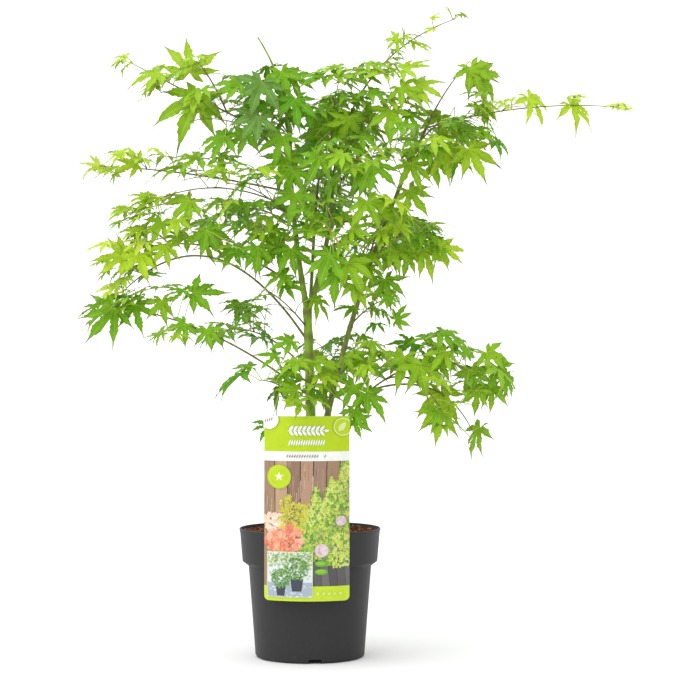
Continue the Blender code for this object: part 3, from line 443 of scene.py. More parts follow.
# a leaf: degrees from the middle lobe, and share of the blade's length
LOBE_ANGLES = (-82.0, -40.0, 0.0, 40.0, 82.0)
LOBE_LENGTHS = (0.80, 1.00, 1.07, 1.00, 0.80)
SINUS_REACH = (0.23, 0.28, 0.30, 0.30, 0.28, 0.23)
BASAL_ANGLE = 122.0
BASAL_LENGTH = 0.40
FIRST_SINUS = 10  # lobes are numbered from 0, and the sinuses between them from this number on
RIB_STATIONS = (0.18, 0.33, 0.455, 0.56, 0.665, 0.765, 0.86)
EDGE_STATIONS = (
    (0.33, 0.108), (0.36, 0.104), (0.445, 0.137), (0.475, 0.122), (0.55, 0.123), (0.58, 0.101),
    (0.65, 0.085), (0.68, 0.062), (0.75, 0.042), (0.775, 0.026), (0.86, 0.015),
)

# how far one leaf differs from the next
LOBE_SWING = (-7, 7)
LOBE_SIZE = (0.86, 1.08)
LOBE_LEAN = (-0.15, 0.15)
LOBE_DIP = (-0.26, 0.10)
SINUS_SIZE = (0.85, 1.12)
SINUS_ANGLE = 18  # how far inside the basal lobes the outermost sinuses lie, in degrees
SINUS_RISE = (0.04, 0.10)
BLADE_WIDTH = (0.84, 1.06)
RAGGED_WIDTH, RAGGED_REACH, RAGGED_HEIGHT = 0.18, 0.012, 0.02
FOLD_RANGE = (0.10, 0.42)
WAVE_RANGE = (0.0, 0.06)
CURL_RANGE = (0.0, 0.8)
BROWN_TIPS = (0.2, 0.5, 0.8, 1.0)
BROWN_FROM = 0.72  # how far along its lobe a brown tip starts

# open places of the crown that the camera sees through, and the label's top, where no leaf grows:
# left, right, low and high, in millimetres at y = 0
SKY = (
    (-119, -65, 787, 884), (-234, -198, 792, 830), (-290, -186, 711, 765), (-337, -162, 686, 719),
    (-116, -65, 664, 682), (-229, -151, 629, 645), (-146, -102, 618, 638), (-43, -11, 428, 475),
    (-181, -119, 465, 474), (-132, -65, 401, 417), (-84, -65, 342, 380), (-141, -65, 304, 350),
    (13, 49, 430, 452), (102, 143, 304, 374), (201, 226, 312, 341), (237, 310, 264, 334),
    (137, 229, 602, 628), (199, 256, 479, 601), (159, 194, 762, 823), (175, 310, 816, 857),
    (263, 350, 760, 830), (263, 294, 688, 731), (81, 143, 838, 884), (162, 229, 803, 849),
    (-47, 84, 800, 884), (334, 396, 756, 803), (337, 445, 695, 733), (121, 175, 479, 513),
    (388, 451, 752, 803), (-191, -129, 768, 781), (-92, -47, 614, 638), (101, 119, 617, 652),
    (175, 205, 733, 752), (-105, -70, 485, 506), (-256, -202, 436, 455), (-191, -167, 458, 482),
    (-167, -141, 452, 470), (-143, -119, 698, 722), (165, 199, 583, 610), (-38, 42, 260, 323),
)

AGED = {"right_stem": 0.50, "back_stem": 0.45}  # limbs that are brown from the foot on
AGED_TIP = 0.85  # how brown every limb is at its tip
BARK_SEED, FOLIAGE_SEED, MIX_SEED, PRINT_SEED = 7, 11, 21, 5
BARK_RELIEF = 0.05
BARK_GRAIN = 260
COARSE_STEP = 6  # every sixth point of a route is enough to keep leaves off a limb
COARSE_RINGS = 16  # and the width of every sixteenth ring
FIRST_KNOT = (0.4, 0.9)  # where the first node stands, as a share of their spacing
NEXT_KNOT = (0.75, 1.25)
KNOT_SWELLING = 0.12
KNOT_BROWN = 0.55
CAMERA_PLACE = (0.0539, -2.73, 0.412)
CAMERA_LENS = 104.19
LIGHT_ANGLE = math.radians(80)
INK_DEPTH = 0.88  # printed colours are laid this much deeper than they look in the studio's light

# tones of green, dark to pale, as a screen shows them
TONES = (
    (86, 126, 46),
    (82, 136, 10),
    (100, 148, 14),
    (119, 158, 20),
    (137, 170, 26),
    (154, 183, 32),
    (174, 195, 64),
)


# ---- materials
def linear(colour):
    """A screen colour, 0 to 255, as linear light."""
    shares = [value / 255 for value in colour]
    return [s / 12.92 if s <= 0.04045 else ((s + 0.055) / 1.055) ** 2.4 for s in shares]


class Shader:
    """A Principled material whose nodes are added one by one."""

    def __init__(self, name, colour, roughness, specular=0.5):
        self.made = bpy.data.materials.new(name)
        self.made.use_nodes = True
        self.tree = self.made.node_tree
        self.main = self.tree.nodes["Principled BSDF"]
        self.main.inputs["Base Color"].default_value = (*linear(colour), 1.0)
        self.main.inputs["Roughness"].default_value = roughness
        self.main.inputs["Specular IOR Level"].default_value = specular
        self.coords = self.node("TexCoord").outputs["Object"]

    def feed(self, target, value):
        """Link a socket to an input, or set the input to a value."""
        if isinstance(value, bpy.types.NodeSocket):
            self.tree.links.new(value, target)
        else:
            target.default_value = value

    def node(self, kind, inputs=None, **settings):
        made = self.tree.nodes.new("ShaderNode" + kind)
        for key, value in settings.items():
            setattr(made, key, value)
        for key, value in (inputs or {}).items():
            self.feed(made.inputs[key], value)
        return made

    def stretched(self, scale):
        return self.node("Mapping", {"Vector": self.coords, "Scale": scale}).outputs["Vector"]

    def noise(self, scale, detail=4.0, rough=0.55, vector=None):
        inputs = {"Vector": vector or self.coords, "Scale": scale, "Detail": detail, "Roughness": rough}
        return self.node("TexNoise", inputs).outputs["Fac"]

    def attribute(self, name):
        return self.node("Attribute", attribute_name=name).outputs["Fac"]

    def spread(self, value, low, high, to_low=0.0, to_high=1.0):
        inputs = {"Value": value, "From Min": low, "From Max": high, "To Min": to_low, "To Max": to_high}
        return self.node("MapRange", inputs, clamp=True).outputs["Result"]

    def mix(self, share, first, second):
        """Blend two colours, each a screen colour or a socket."""
        first, second = ((*linear(c), 1.0) if isinstance(c, tuple) else c for c in (first, second))
        return self.node("Mix", {0: share, 6: first, 7: second}, data_type="RGBA").outputs[2]

    def paint(self, colour):
        self.feed(self.main.inputs["Base Color"], colour)

    def painted_glow(self, colour, strength):
        """Painted light: an even glow in the blade's own colour, which stands in for the light a thin blade
        lets through and lifts its shade.
        """
        self.feed(self.main.inputs["Emission Color"], (*linear(colour), 1.0))
        self.feed(self.main.inputs["Emission Strength"], strength)

    def roughen(self, value):
        self.feed(self.main.inputs["Roughness"], value)

    def bump(self, height, strength, distance):
        inputs = {"Height": height, "Strength": strength, "Distance": distance}
        self.feed(self.main.inputs["Normal"], self.node("Bump", inputs).outputs["Normal"])


def scaled(colour, share):
    return tuple(min(255, value * share) for value in colour)


def leaf_material(number, tone):
    shader = Shader(f"leaf tone {number}", tone, 0.50, 0.22)
    # painted light: every blade glows faintly in its own tone, which lifts the shaded leaves
    shader.painted_glow(tone, 0.14)
    patchy = shader.spread(shader.noise(38.0, 3.0), 0.35, 0.65)
    blade = shader.mix(patchy, scaled(tone, 0.93), scaled(tone, 1.06))
    rib = shader.spread(shader.attribute("rib"), 0.80, 1.0)
    pale = tuple(0.75 * value + 0.25 * other for value, other in zip(tone, (206, 216, 128)))
    veined = shader.mix(rib, blade, pale)
    tip = shader.attribute("tip")
    shader.paint(shader.mix(tip, veined, (104, 84, 56)))
    shader.bump(shader.noise(900.0, 2.0), 0.25, 0.0002)
    return shader.made


def bark_material():
    """Smooth olive bark that turns brown at its nodes and grey-brown on the thin limbs."""
    shader = Shader("green bark", (122, 152, 44), 0.5, 0.35)
    streaks = shader.spread(shader.noise(60.0, 5.0, 0.6, shader.stretched((3.0, 3.0, 0.5))), 0.38, 0.66)
    green = shader.mix(streaks, (138, 172, 40), (104, 138, 30))
    patches = shader.spread(shader.noise(34.0, 4.0, 0.6), 0.60, 0.72, 0.0, 0.6)
    patched = shader.mix(patches, green, (126, 100, 60))
    thin = shader.mix(streaks, (116, 112, 56), (88, 72, 46))
    aged = shader.mix(shader.attribute("thin"), patched, thin)
    shader.paint(shader.mix(shader.attribute("knot"), aged, (98, 76, 46)))
    shader.roughen(shader.spread(streaks, 0.0, 1.0, 0.42, 0.62))
    shader.bump(shader.noise(240.0, 5.0, 0.65, shader.stretched((1.0, 1.0, 0.35))), 0.5, 0.0006)
    return shader.made


def twig_material():
    shader = Shader("twig", (120, 104, 58), 0.5, 0.35)
    share = shader.spread(shader.noise(24.0, 3.0), 0.38, 0.62)
    shader.paint(shader.mix(share, (104, 80, 52), (128, 146, 62)))
    shader.bump(shader.noise(700.0, 3.0), 0.3, 0.0002)
    return shader.made


def petiole_material():
    shader = Shader("leaf stalk", (186, 204, 96), 0.45, 0.35)
    share = shader.spread(shader.noise(20.0, 2.0), 0.50, 0.70)
    shader.paint(shader.mix(share, (184, 204, 92), (180, 142, 88)))
    return shader.made


def plastic_material():
    """Matt charcoal moulding: fine grain, faint flow marks, and a little dust, more of it near the foot."""
    shader = Shader("charcoal plastic", (39, 39, 40), 0.5, 0.26)
    cloud = shader.spread(shader.noise(9.0, 5.0, 0.6), 0.30, 0.70)
    body = shader.mix(cloud, (36, 36, 37), (42, 42, 44))
    height = shader.node("SeparateXYZ", {"Vector": shader.coords}).outputs["Z"]
    low = shader.spread(height, 0.0, 0.045, 1.0, 0.0)
    specks = shader.spread(shader.noise(150.0, 6.0, 0.7), 0.56, 0.80)
    dust = shader.node("Math", {0: low, 1: 0.10, 2: 0.04}, operation="MULTIPLY_ADD").outputs[0]
    dusty = shader.node("Math", {0: dust, 1: specks}, operation="MULTIPLY").outputs[0]
    shader.paint(shader.mix(dusty, body, (120, 112, 102)))
    shader.roughen(shader.spread(cloud, 0.0, 1.0, 0.46, 0.58))
    shader.bump(shader.noise(1100.0, 3.0), 0.18, 0.0002)
    return shader.made


def crumb_material(name, first, second):
    shader = Shader(name, first, 0.92, 0.2)
    share = shader.spread(shader.noise(140.0, 5.0, 0.7), 0.36, 0.64)
    shader.paint(shader.mix(share, first, second))
    shader.bump(shader.noise(520.0, 5.0, 0.7), 0.8, 0.0012)
    return shader.made


def ink(name, colour, worn=0.015):
    """A printed colour with the faint unevenness of card."""
    colour = scaled(colour, INK_DEPTH)
    shader = Shader("ink " + name, colour, 0.42, 0.30)
    share = shader.spread(shader.noise(85.0, 4.0), 0.35, 0.65)
    shader.paint(shader.mix(share, scaled(colour, 1 - worn), scaled(colour, 1 + worn)))
    return shader.made


# ---- pieces
class Pile:
    """The points and faces of one piece, gathered from many small shapes."""

    def __init__(self, *values):
        self.points = []
        self.faces = []
        self.slots = []
        self.count = 0
        self.values = {name: [] for name in values}

    def add(self, points, faces, slot=0, **values):
        self.points.append(np.asarray(points, float))
        self.faces.extend([tuple(self.count + corner for corner in face) for face in faces])
        self.slots.extend([slot] * len(faces))
        for name, gathered in self.values.items():
            gathered.append(np.broadcast_to(values.get(name, 0.0), len(points)))
        self.count += len(points)

    def piece(self, name, materials, smooth=True):
        mesh = bpy.data.meshes.new(name)
        mesh.from_pydata(np.concatenate(self.points).tolist(), [], self.faces)
        for attribute, gathered in self.values.items():
            made = mesh.attributes.new(attribute, "FLOAT", "POINT")
            made.data.foreach_set("value", np.concatenate(gathered).astype(np.float32))
        for material in materials:
            mesh.materials.append(material)
        mesh.polygons.foreach_set("material_index", self.slots)
        mesh.polygons.foreach_set("use_smooth", [smooth] * len(mesh.polygons))
        mesh.update()
        return place(name, mesh)


def place(name, mesh):
    obj = bpy.data.objects.new(name, mesh)
    bpy.context.scene.collection.objects.link(obj)
    return obj


def finished(obj, slot, *nodes):
    """Ride on the plant's one body, in the place of these solids."""
    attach(obj, "root")
    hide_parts(*nodes)


# ---- curves and tubes
def polar(radius, angle):
    return radius * math.cos(angle), radius * math.sin(angle)


def ring_edges(first, sides):
    """The edges round a ring of points, as pairs of their numbers."""
    return [(first + turn, first + (turn + 1) % sides) for turn in range(sides)]


def bowed(start, tip, bow, steps):
    """Points along a curve whose middle stands off the straight line by bow."""
    control = (start + tip) / 2 + 2 * bow
    shares = [step / steps for step in range(steps + 1)]
    return [start.lerp(control, t).lerp(control.lerp(tip, t), t) for t in shares]


def along(points, share):
    """The point at this share of a route's length, and the direction there."""
    lengths = [(b - a).length for a, b in zip(points, points[1:])]
    left = share * sum(lengths)
    for a, b, length in zip(points, points[1:], lengths):
        if left <= length:
            return a.lerp(b, left / length), (b - a).normalized()
        left -= length
    return points[-1].copy(), (points[-1] - points[-2]).normalized()


def part_of(points, first, last, steps):
    """The stretch of a route between two shares of its length."""
    return [along(points, first + (last - first) * step / steps)[0] for step in range(steps + 1)]


def length_of(points):
    return sum((b - a).length for a, b in zip(points, points[1:]))


def across(direction, near):
    """The unit vector square to direction that lies nearest to near."""
    return (near - near.dot(direction) * direction).normalized()


def tube(points, radii, sides, relief=0.0):
    """Points and faces of a round tube whose end is drawn in to a point; relief roughens its skin."""
    heading = (points[1] - points[0]).normalized()
    side = across(heading, Vector((1.0, 0.3, 0.2)))
    rings = []
    for number, (point, radius) in enumerate(zip(points, radii)):
        ahead = points[min(number + 1, len(points) - 1)]
        behind = points[max(number - 1, 0)]
        heading = (ahead - behind).normalized()
        side = across(heading, side)
        other = heading.cross(side)
        for turn in range(sides):
            angle = 2 * math.pi * turn / sides
            way = math.cos(angle) * side + math.sin(angle) * other
            swell = 1.0 + relief * noise.noise((point + way * radius) * BARK_GRAIN) if relief else 1.0
            rings.append(point + way * radius * swell)
    faces = []
    for ring in range(len(points) - 1):
        for here, there in ring_edges(ring * sides, sides):
            faces.append((here, there, there + sides, here + sides))
    faces += [(here, there, len(rings)) for here, there in ring_edges(len(rings) - sides, sides)]
    rings.append(points[-1] + heading * radii[-1])
    faces.append(tuple(range(sides))[::-1])
    return rings, faces


# ---- leaves
class Leaf(NamedTuple):
    """One leaf: a stalk from foot to heart, and a palmate blade round its heart."""

    foot: Vector
    heart: Vector
    axis: Vector
    normal: Vector
    length: float
    cup: float
    tone: int


def half_lobe(heart, ribs, tip, edge, sinus, flip):
    """The faces between a lobe's rib and its toothed edge on one side."""
    faces = [(heart, ribs[0], sinus), (ribs[0], ribs[1], edge[0], sinus), (ribs[-1], tip, edge[-1])]
    for number in range(1, len(ribs) - 1):
        outer, notch, tooth = edge[2 * number - 2 : 2 * number + 1]
        faces += [(ribs[number], notch, outer), (ribs[number], ribs[number + 1], tooth, notch)]
    return [face[::-1] for face in faces] if flip else faces


def leaf_pattern():
    """How every blade is put together: each point's lobe, reach, way aside and rib, and the faces."""
    lobe, reach, aside, rib = [-1], [0.0], [0.0], [1.0]

    def point(number, u, w, on_rib):
        lobe.append(number)
        reach.append(u)
        aside.append(w)
        rib.append(on_rib)
        return len(lobe) - 1

    sinuses = [point(FIRST_SINUS + number, 1.0, 0.0, 0.0) for number in range(len(SINUS_REACH))]
    faces = []
    for number in range(len(LOBE_ANGLES)):
        ribs = [point(number, u, 0.0, 1.0) for u in RIB_STATIONS]
        tip = point(number, 1.0, 0.0, 0.6)
        for way, sinus in ((-1, sinuses[number]), (1, sinuses[number + 1])):
            edge = [point(number, u, way * w, 0.0) for u, w in EDGE_STATIONS]
            faces += half_lobe(0, ribs, tip, edge, sinus, way < 0)
    for number, sinus, way in ((5, sinuses[0], -1), (6, sinuses[-1], 1)):
        rib_point = point(number, 0.5, 0.0, 1.0)
        tip = point(number, 1.0, 0.0, 0.6)
        outer = point(number, 0.5, way * 0.20, 0.0)
        small = [(0, sinus, rib_point), (rib_point, sinus, tip)]
        small += [(0, rib_point, outer), (rib_point, tip, outer)]
        faces += [face[::-1] for face in small] if way < 0 else small
    return np.array(lobe), np.array(reach), np.array(aside), np.array(rib), faces


PATTERN = leaf_pattern()


def leaf_points(leaf, chance):
    """The blade's points, and how brown the tip is at each."""
    lobe, reach, aside, _, _ = PATTERN
    angles = [angle + chance.uniform(*LOBE_SWING) for angle in LOBE_ANGLES]
    lengths = [length * chance.uniform(*LOBE_SIZE) for length in LOBE_LENGTHS]
    lean = [chance.uniform(*LOBE_LEAN) for _ in LOBE_ANGLES]
    bend = [chance.uniform(*LOBE_DIP) for _ in LOBE_ANGLES]
    angles += [-BASAL_ANGLE, BASAL_ANGLE]
    lengths += [BASAL_LENGTH] * 2
    lean += [0.0, 0.0]
    bend += [0.0, 0.0]
    edge = BASAL_ANGLE - SINUS_ANGLE
    edges = [-edge] + [(a + b) / 2 for a, b in zip(angles[:4], angles[1:5])] + [edge]
    turn, far, sway, dip = np.zeros((4, len(lobe)))
    for number, (angle, length, way, fall) in enumerate(zip(angles, lengths, lean, bend)):
        mine = lobe == number
        turn[mine], far[mine], sway[mine], dip[mine] = math.radians(angle), length, way, fall
    for number, (angle, length) in enumerate(zip(edges, SINUS_REACH)):
        mine = lobe == FIRST_SINUS + number
        turn[mine], far[mine] = math.radians(angle), length * chance.uniform(*SINUS_SIZE)
    ragged = np.array([chance.uniform(-1, 1) for _ in range(2 * len(lobe))]).reshape(2, -1)
    width = aside * (1 + RAGGED_WIDTH * ragged[0]) * chance.uniform(*BLADE_WIDTH)
    u = far * (reach + RAGGED_REACH * ragged[1] * (aside != 0))
    w = far * (width + sway * reach**2)
    x = u * np.cos(turn) - w * np.sin(turn)
    y = u * np.sin(turn) + w * np.cos(turn)
    spread = np.hypot(x, y)
    fold = chance.uniform(*FOLD_RANGE)
    wave = chance.uniform(*WAVE_RANGE) * np.sin(3 * turn + chance.uniform(0, 6)) * spread
    curl = chance.uniform(*CURL_RANGE) * np.maximum(0.0, spread - 0.5) ** 2
    sinus = np.where(lobe >= FIRST_SINUS, SINUS_RISE[0] + fold * SINUS_RISE[1], 0.0)
    z = fold * np.abs(far * aside) + sinus + wave - leaf.cup * spread**2 - curl
    z += dip * reach**2 * far + RAGGED_HEIGHT * ragged[1] * (aside != 0)
    side = np.array(leaf.normal.cross(leaf.axis))
    axes = np.stack([np.array(leaf.axis), side, np.array(leaf.normal)])
    points = np.array(leaf.heart) + leaf.length * np.stack([x, y, z], 1) @ axes
    brown = chance.choice(BROWN_TIPS)
    tips = np.clip((reach - BROWN_FROM) / 0.12, 0, 1) * (lobe < 5) * (lobe >= 0) * brown
    return points, tips


def coarse_leaf(leaf, grow=1.0):
    """The few faces that stand for a blade and its stalk while room is sought."""
    side = leaf.normal.cross(leaf.axis)
    outline = []
    for degrees, reach in [(-a, r) for a, r in COARSE_LOBES[:0:-1]] + list(COARSE_LOBES):
        angle = math.radians(degrees)
        way = leaf.axis * math.cos(angle) + side * math.sin(angle)
        outline.append(leaf.heart + leaf.length * grow * (reach * way - leaf.cup * reach**2 * leaf.normal))
    knee = leaf.foot.lerp(leaf.heart, STALK_KNEE)
    points = [leaf.heart, *outline, knee, knee + UP * COARSE_STALK]
    faces = [(0, number, number + 1) for number in range(1, len(outline))]
    faces.append((0, len(points) - 2, len(points) - 1))
    return points, faces


class Room:
    """What already stands where."""

    def __init__(self):
        self.boxes = np.zeros((0, 6))
        self.trees = []

    def box(self, points):
        corners = np.array(points)
        return np.concatenate([corners.min(0), corners.max(0)])

    def take(self, points, faces):
        self.boxes = np.vstack([self.boxes, self.box(points)])
        self.trees.append(BVHTree.FromPolygons(points, faces))

    def is_free(self, points, faces):
        box = self.box(points)
        near = np.all(self.boxes[:, :3] <= box[3:], 1) & np.all(self.boxes[:, 3:] >= box[:3], 1)
        numbers = np.nonzero(near)[0]
        if not len(numbers):
            return True
        tree = BVHTree.FromPolygons(points, faces)
        return not any(tree.overlap(self.trees[number]) for number in numbers)


# ---- growing
def loose(chance):
    """A seeded vector of any direction, no longer than one."""
    return Vector([chance.uniform(-1, 1) for _ in range(3)]) * 0.58


def outward(point):
    """The level way out of the crown that a leaf faces there."""
    return Vector((point.x, CROWN_FLATNESS * (point.y - CROWN_MIDDLE_Y), 0.0)).normalized()


def tone_of(lime):
    return max(0, min(len(TONES) - 1, round(lime * (len(TONES) - 1))))


def turned_leaf(spray, seat, chance, attempt):
    """A leaf that stands out from its seat and hangs, turned more freely at each attempt."""
    foot, way, forward, share, _ = seat
    free = LOOSENESS[0] + attempt * LOOSENESS[1]
    length = spray.blade * MM * chance.uniform(*BLADE_RANGE) * (1 - (1 - spray.tip_blade) * share)
    stalk = length * chance.uniform(*STALK_RANGE)
    run = way + forward * chance.uniform(*STALK_FORWARD) + UP * chance.uniform(*STALK_LIFT)
    run = (run + free * loose(chance)).normalized()
    heart = foot + run * stalk
    level = Vector((run.x, run.y, 0.0)) + OUTWARD_PULL * outward(heart) + free * loose(chance)
    level.z = 0.0
    droop = math.radians(chance.uniform(*DROOP_RANGE))
    axis = level.normalized() * math.cos(droop) - UP * math.sin(droop)
    if axis.dot(run) < LEAST_LEAN:
        axis = (axis + run * (SWUNG_LEAN - axis.dot(run))).normalized()
    facing = UP + chance.uniform(*TILT_RANGE) * outward(heart) + TILT_STRAY * loose(chance)
    tone = tone_of(spray.lime + LIME_RISE * (share - 0.5) + chance.gauss(0, LIME_STRAY))
    return Leaf(foot, heart, axis, across(axis, facing), length, chance.uniform(*CUP_RANGE), tone)


def in_space(spray, stem, leaf):
    """Whether a blade keeps to the space round the stem that belongs to this spray."""
    outline = np.array(coarse_leaf(leaf)[0][:-2])
    apart = outline[:, None, :] - stem[None, :, :]
    level = np.hypot(apart[:, :, 0], apart[:, :, 1]) / (spray.spread * MM)
    return bool(((level**2 + (apart[:, :, 2] / (spray.rise * MM)) ** 2).min(1) <= 1.0).all())


def before_sky(leaf):
    """Whether a blade would cover one of the places where the camera sees the sky through the crown."""
    outline = np.array(coarse_leaf(leaf)[0][:-2])
    eye = np.array(CAMERA_PLACE)
    seen = eye + (outline - eye) * (-eye[1] / (outline[:, 1:2] - eye[1]))
    x, z = seen[:, 0] / MM, seen[:, 2] / MM
    return any(((x > left) & (x < right) & (z > low) & (z < high)).any() for left, right, low, high in SKY)


class Mass:
    """The twigs and leaves of one spray, as they grow."""

    def __init__(self, spray, route, seed):
        self.spray = spray
        self.chance = random.Random(seed)
        self.leafless = 0.0 if spray.bare >= BARE_BOUGH else spray.bare
        self.stem = part_of(route, spray.bare - self.leafless, 1.0, STEM_STEPS)
        self.reach = np.array(part_of(self.stem, self.leafless, spray.leafy_to, STEM_STEPS))
        self.twigs = []
        self.leaves = []
        self.seats = []
        self.bearing = set()

    def grow_twigs(self):
        """Opposite pairs along the stem: side twigs first, leaves towards the tip, three at each end."""
        turn = self.chance.uniform(*FIRST_TURN)
        leafy = self.spray.leafy_to - self.leafless
        count = max(2, round(length_of(self.stem) * leafy / (self.spray.spacing * MM)))
        for number in range(count):
            gone = (number + NODE_START) / count
            share = self.leafless + leafy * gone
            foot, forward = along(self.stem, share)
            level = forward.cross(UP).normalized()
            lift = level.cross(forward)
            for way in (level, -level):
                way = way * math.cos(turn) + lift * math.sin(turn)
                if gone < TWIGGY_SHARE and self.spray.spread >= TWIGGY_SPREAD:
                    self.grow_twig(foot, way, forward, share)
                else:
                    self.seats.append((foot, way, forward, share, None))
            turn += math.radians(self.chance.uniform(*NODE_TURN))
        tip, forward = along(self.stem, self.spray.leafy_to)
        self.end_seats(tip, forward, 1.0, None)

    def grow_twig(self, foot, way, forward, share):
        """A side twig with a pair of leaves at its middle and three at its end."""
        taper = TWIG_TAPER[0] - TWIG_TAPER[1] * share
        length = self.spray.spread * MM * self.chance.uniform(*TWIG_RANGE) * taper
        run = (way + TWIG_FORWARD * forward + TWIG_STRAY * loose(self.chance)).normalized()
        bend = loose(self.chance) * length * TWIG_BEND[0] + UP * length * TWIG_BEND[1]
        twig = bowed(foot, foot + run * length, bend, TWIG_STEPS)
        number = len(self.twigs)
        self.twigs.append(twig)
        middle, ahead = along(twig, self.chance.uniform(*TWIG_MIDDLE))
        aside = ahead.cross(UP).normalized()
        self.seats.append((middle, aside, ahead, share, number))
        self.seats.append((middle, -aside, ahead, share, number))
        self.end_seats(twig[-1], (twig[-1] - twig[-2]).normalized(), share, number)

    def end_seats(self, tip, run, share, twig):
        """A pair of leaves just short of the tip, and one that carries the tip on."""
        level = run.cross(UP).normalized()
        for short, way in zip(END_SEATS, (level, -level, TIP_WAY[0] * run + TIP_WAY[1] * UP)):
            self.seats.append((tip - run * short, way, run, share, twig))

    def place_leaf(self, placed, room):
        """Set a listed leaf, on a stalk from the nearest point of the stem."""
        heart, axis = Vector(placed.heart) * MM, Vector(placed.axis).normalized()
        foot = min(self.stem, key=lambda point: (point - heart).length)
        normal = across(axis, Vector(placed.normal))
        leaf = Leaf(foot, heart, axis, normal, placed.length * MM, PLACED_CUP, tone_of(placed.lime))
        room.take(*coarse_leaf(leaf))
        self.leaves.append(leaf)

    def grow_leaf(self, seat, room):
        """Try a seat until a leaf keeps to its space, the open places and the free room."""
        for attempt in range(TRIES):
            leaf = turned_leaf(self.spray, seat, self.chance, attempt)
            if not in_space(self.spray, self.reach, leaf) or before_sky(leaf):
                continue
            if room.is_free(*coarse_leaf(leaf, ELBOW_ROOM)):
                room.take(*coarse_leaf(leaf))
                self.leaves.append(leaf)
                self.bearing.add(seat[-1])
                return


def limb_routes():
    """The whole route of the trunk, of each limb and of each spray, by name."""
    foot = Vector((0.0, 0.0, MIX_CROWN_HEIGHT + GAP))
    routes = {"trunk": bowed(foot, Vector(TRUNK_TOP), Vector(TRUNK_BOW), LIMB_STEPS)}
    for limb in LIMBS + SPRAYS:
        start, _ = along(routes[limb.carrier], limb.at)
        routes[limb.name] = bowed(start, Vector(limb.tip) * MM, Vector(limb.bow) * MM, LIMB_STEPS)
    return routes


# ---- the limbs
def knotted(points, radii, spacing, chance):
    """The limb's radii with a low swelling at each node, and how near each point is to one."""
    total = length_of(points)
    nodes = []
    place_of = spacing * chance.uniform(*FIRST_KNOT)
    while place_of < total:
        nodes.append(place_of)
        place_of += spacing * chance.uniform(*NEXT_KNOT)
    gone = 0.0
    swollen, knots = [], []
    for number, radius in enumerate(radii):
        if number:
            gone += (points[number] - points[number - 1]).length
        near = min((abs(gone - node) for node in nodes), default=1.0)
        knot = math.exp(-((near / (0.9 * radius + 0.0004)) ** 2))
        swollen.append(radius * (1 + KNOT_SWELLING * knot))
        knots.append(KNOT_BROWN * knot)
    return swollen, knots


def add_limb(pile, points, widths, chance, sides, spacing, thin):
    """A limb with its nodes this far apart; thin says how grey-brown its bark is, at most 1."""
    radii, knots = knotted(points, [width / 2 for width in widths], spacing, chance)
    rings, faces = tube(points, radii, sides, BARK_RELIEF)
    pile.add(rings, faces, knot=np.append(np.repeat(knots, sides), knots[-1]), thin=thin)


def between(first, last, count):
    return [first + (last - first) * step / (count - 1) for step in range(count)]


def bark_piece(node, bark, *limb, **looks):
    """One limb as a piece of its own, in the place of the node of this name."""
    pile = Pile("knot", "thin")
    add_limb(pile, *limb, **looks)
    finished(pile.piece(node + "_bark", [bark]), "green_bark", node)


def build_limbs(routes, room):
    bark = bark_material()
    chance = random.Random(BARK_SEED)
    trunk = part_of(routes["trunk"], 0.0, 1.0, TRUNK_RINGS)
    flare = [max(0.0, 1 - (p.z - trunk[0].z) / FLARE_HEIGHT) ** 2 for p in trunk]
    straight = between(*TRUNK_WIDTHS, len(trunk))
    widths = [w + f * (FLARE_WIDTH - TRUNK_WIDTHS[0]) for w, f in zip(straight, flare)]
    bark_piece("trunk", bark, trunk, widths, chance, sides=24, spacing=0.034, thin=0.0)
    coarse = routes["trunk"][::COARSE_STEP]  # leaves keep off a tube of twice the trunk's width
    room.take(*tube(coarse, between(*TRUNK_WIDTHS, len(coarse)), 6))
    for limb in LIMBS:
        route = part_of(routes[limb.name], 0.0, 1.0, LIMB_RINGS)
        widths = between(limb.width * MM, limb.tip_width * MM, len(route))
        aged = np.linspace(AGED.get(limb.name, 0.0), AGED_TIP, len(route))
        thin = np.append(np.repeat(aged, LIMB_SIDES), AGED_TIP)
        bark_piece(limb.name, bark, route, widths, chance, sides=LIMB_SIDES, spacing=0.030, thin=thin)
        room.take(*tube(routes[limb.name][::COARSE_STEP], [width / 2 for width in widths[::COARSE_RINGS]], 5))
    for spray in SPRAYS:
        if spray.bare >= BARE_BOUGH:
            route = part_of(routes[spray.name], 0.0, spray.bare, BOUGH_RINGS)
            foot = BOUGH_TIP_WIDTH + BOUGH_TAPER * length_of(route) * (1 - 0.3 * spray.bare)
            widths = between(foot, BOUGH_TIP_WIDTH, len(route))
            bark_piece("bough_" + spray.name, bark, route, widths, chance, sides=10, spacing=0.028, thin=0.8)


def grown_masses(routes, room):
    """Every mass with its leaves: the listed ones first, then the seats in turn from each tip."""
    masses = [Mass(spray, routes[spray.name], FIRST_SEED + number) for number, spray in enumerate(SPRAYS)]
    for mass in masses:
        for row in PLACED.get(mass.spray.name, ()):
            mass.place_leaf(Placed(*row), room)
    for mass in masses:
        mass.grow_twigs()
    for number in range(max(len(mass.seats) for mass in masses)):
        for mass in masses:
            if number < len(mass.seats):
                mass.grow_leaf(mass.seats[-1 - number], room)
    return masses


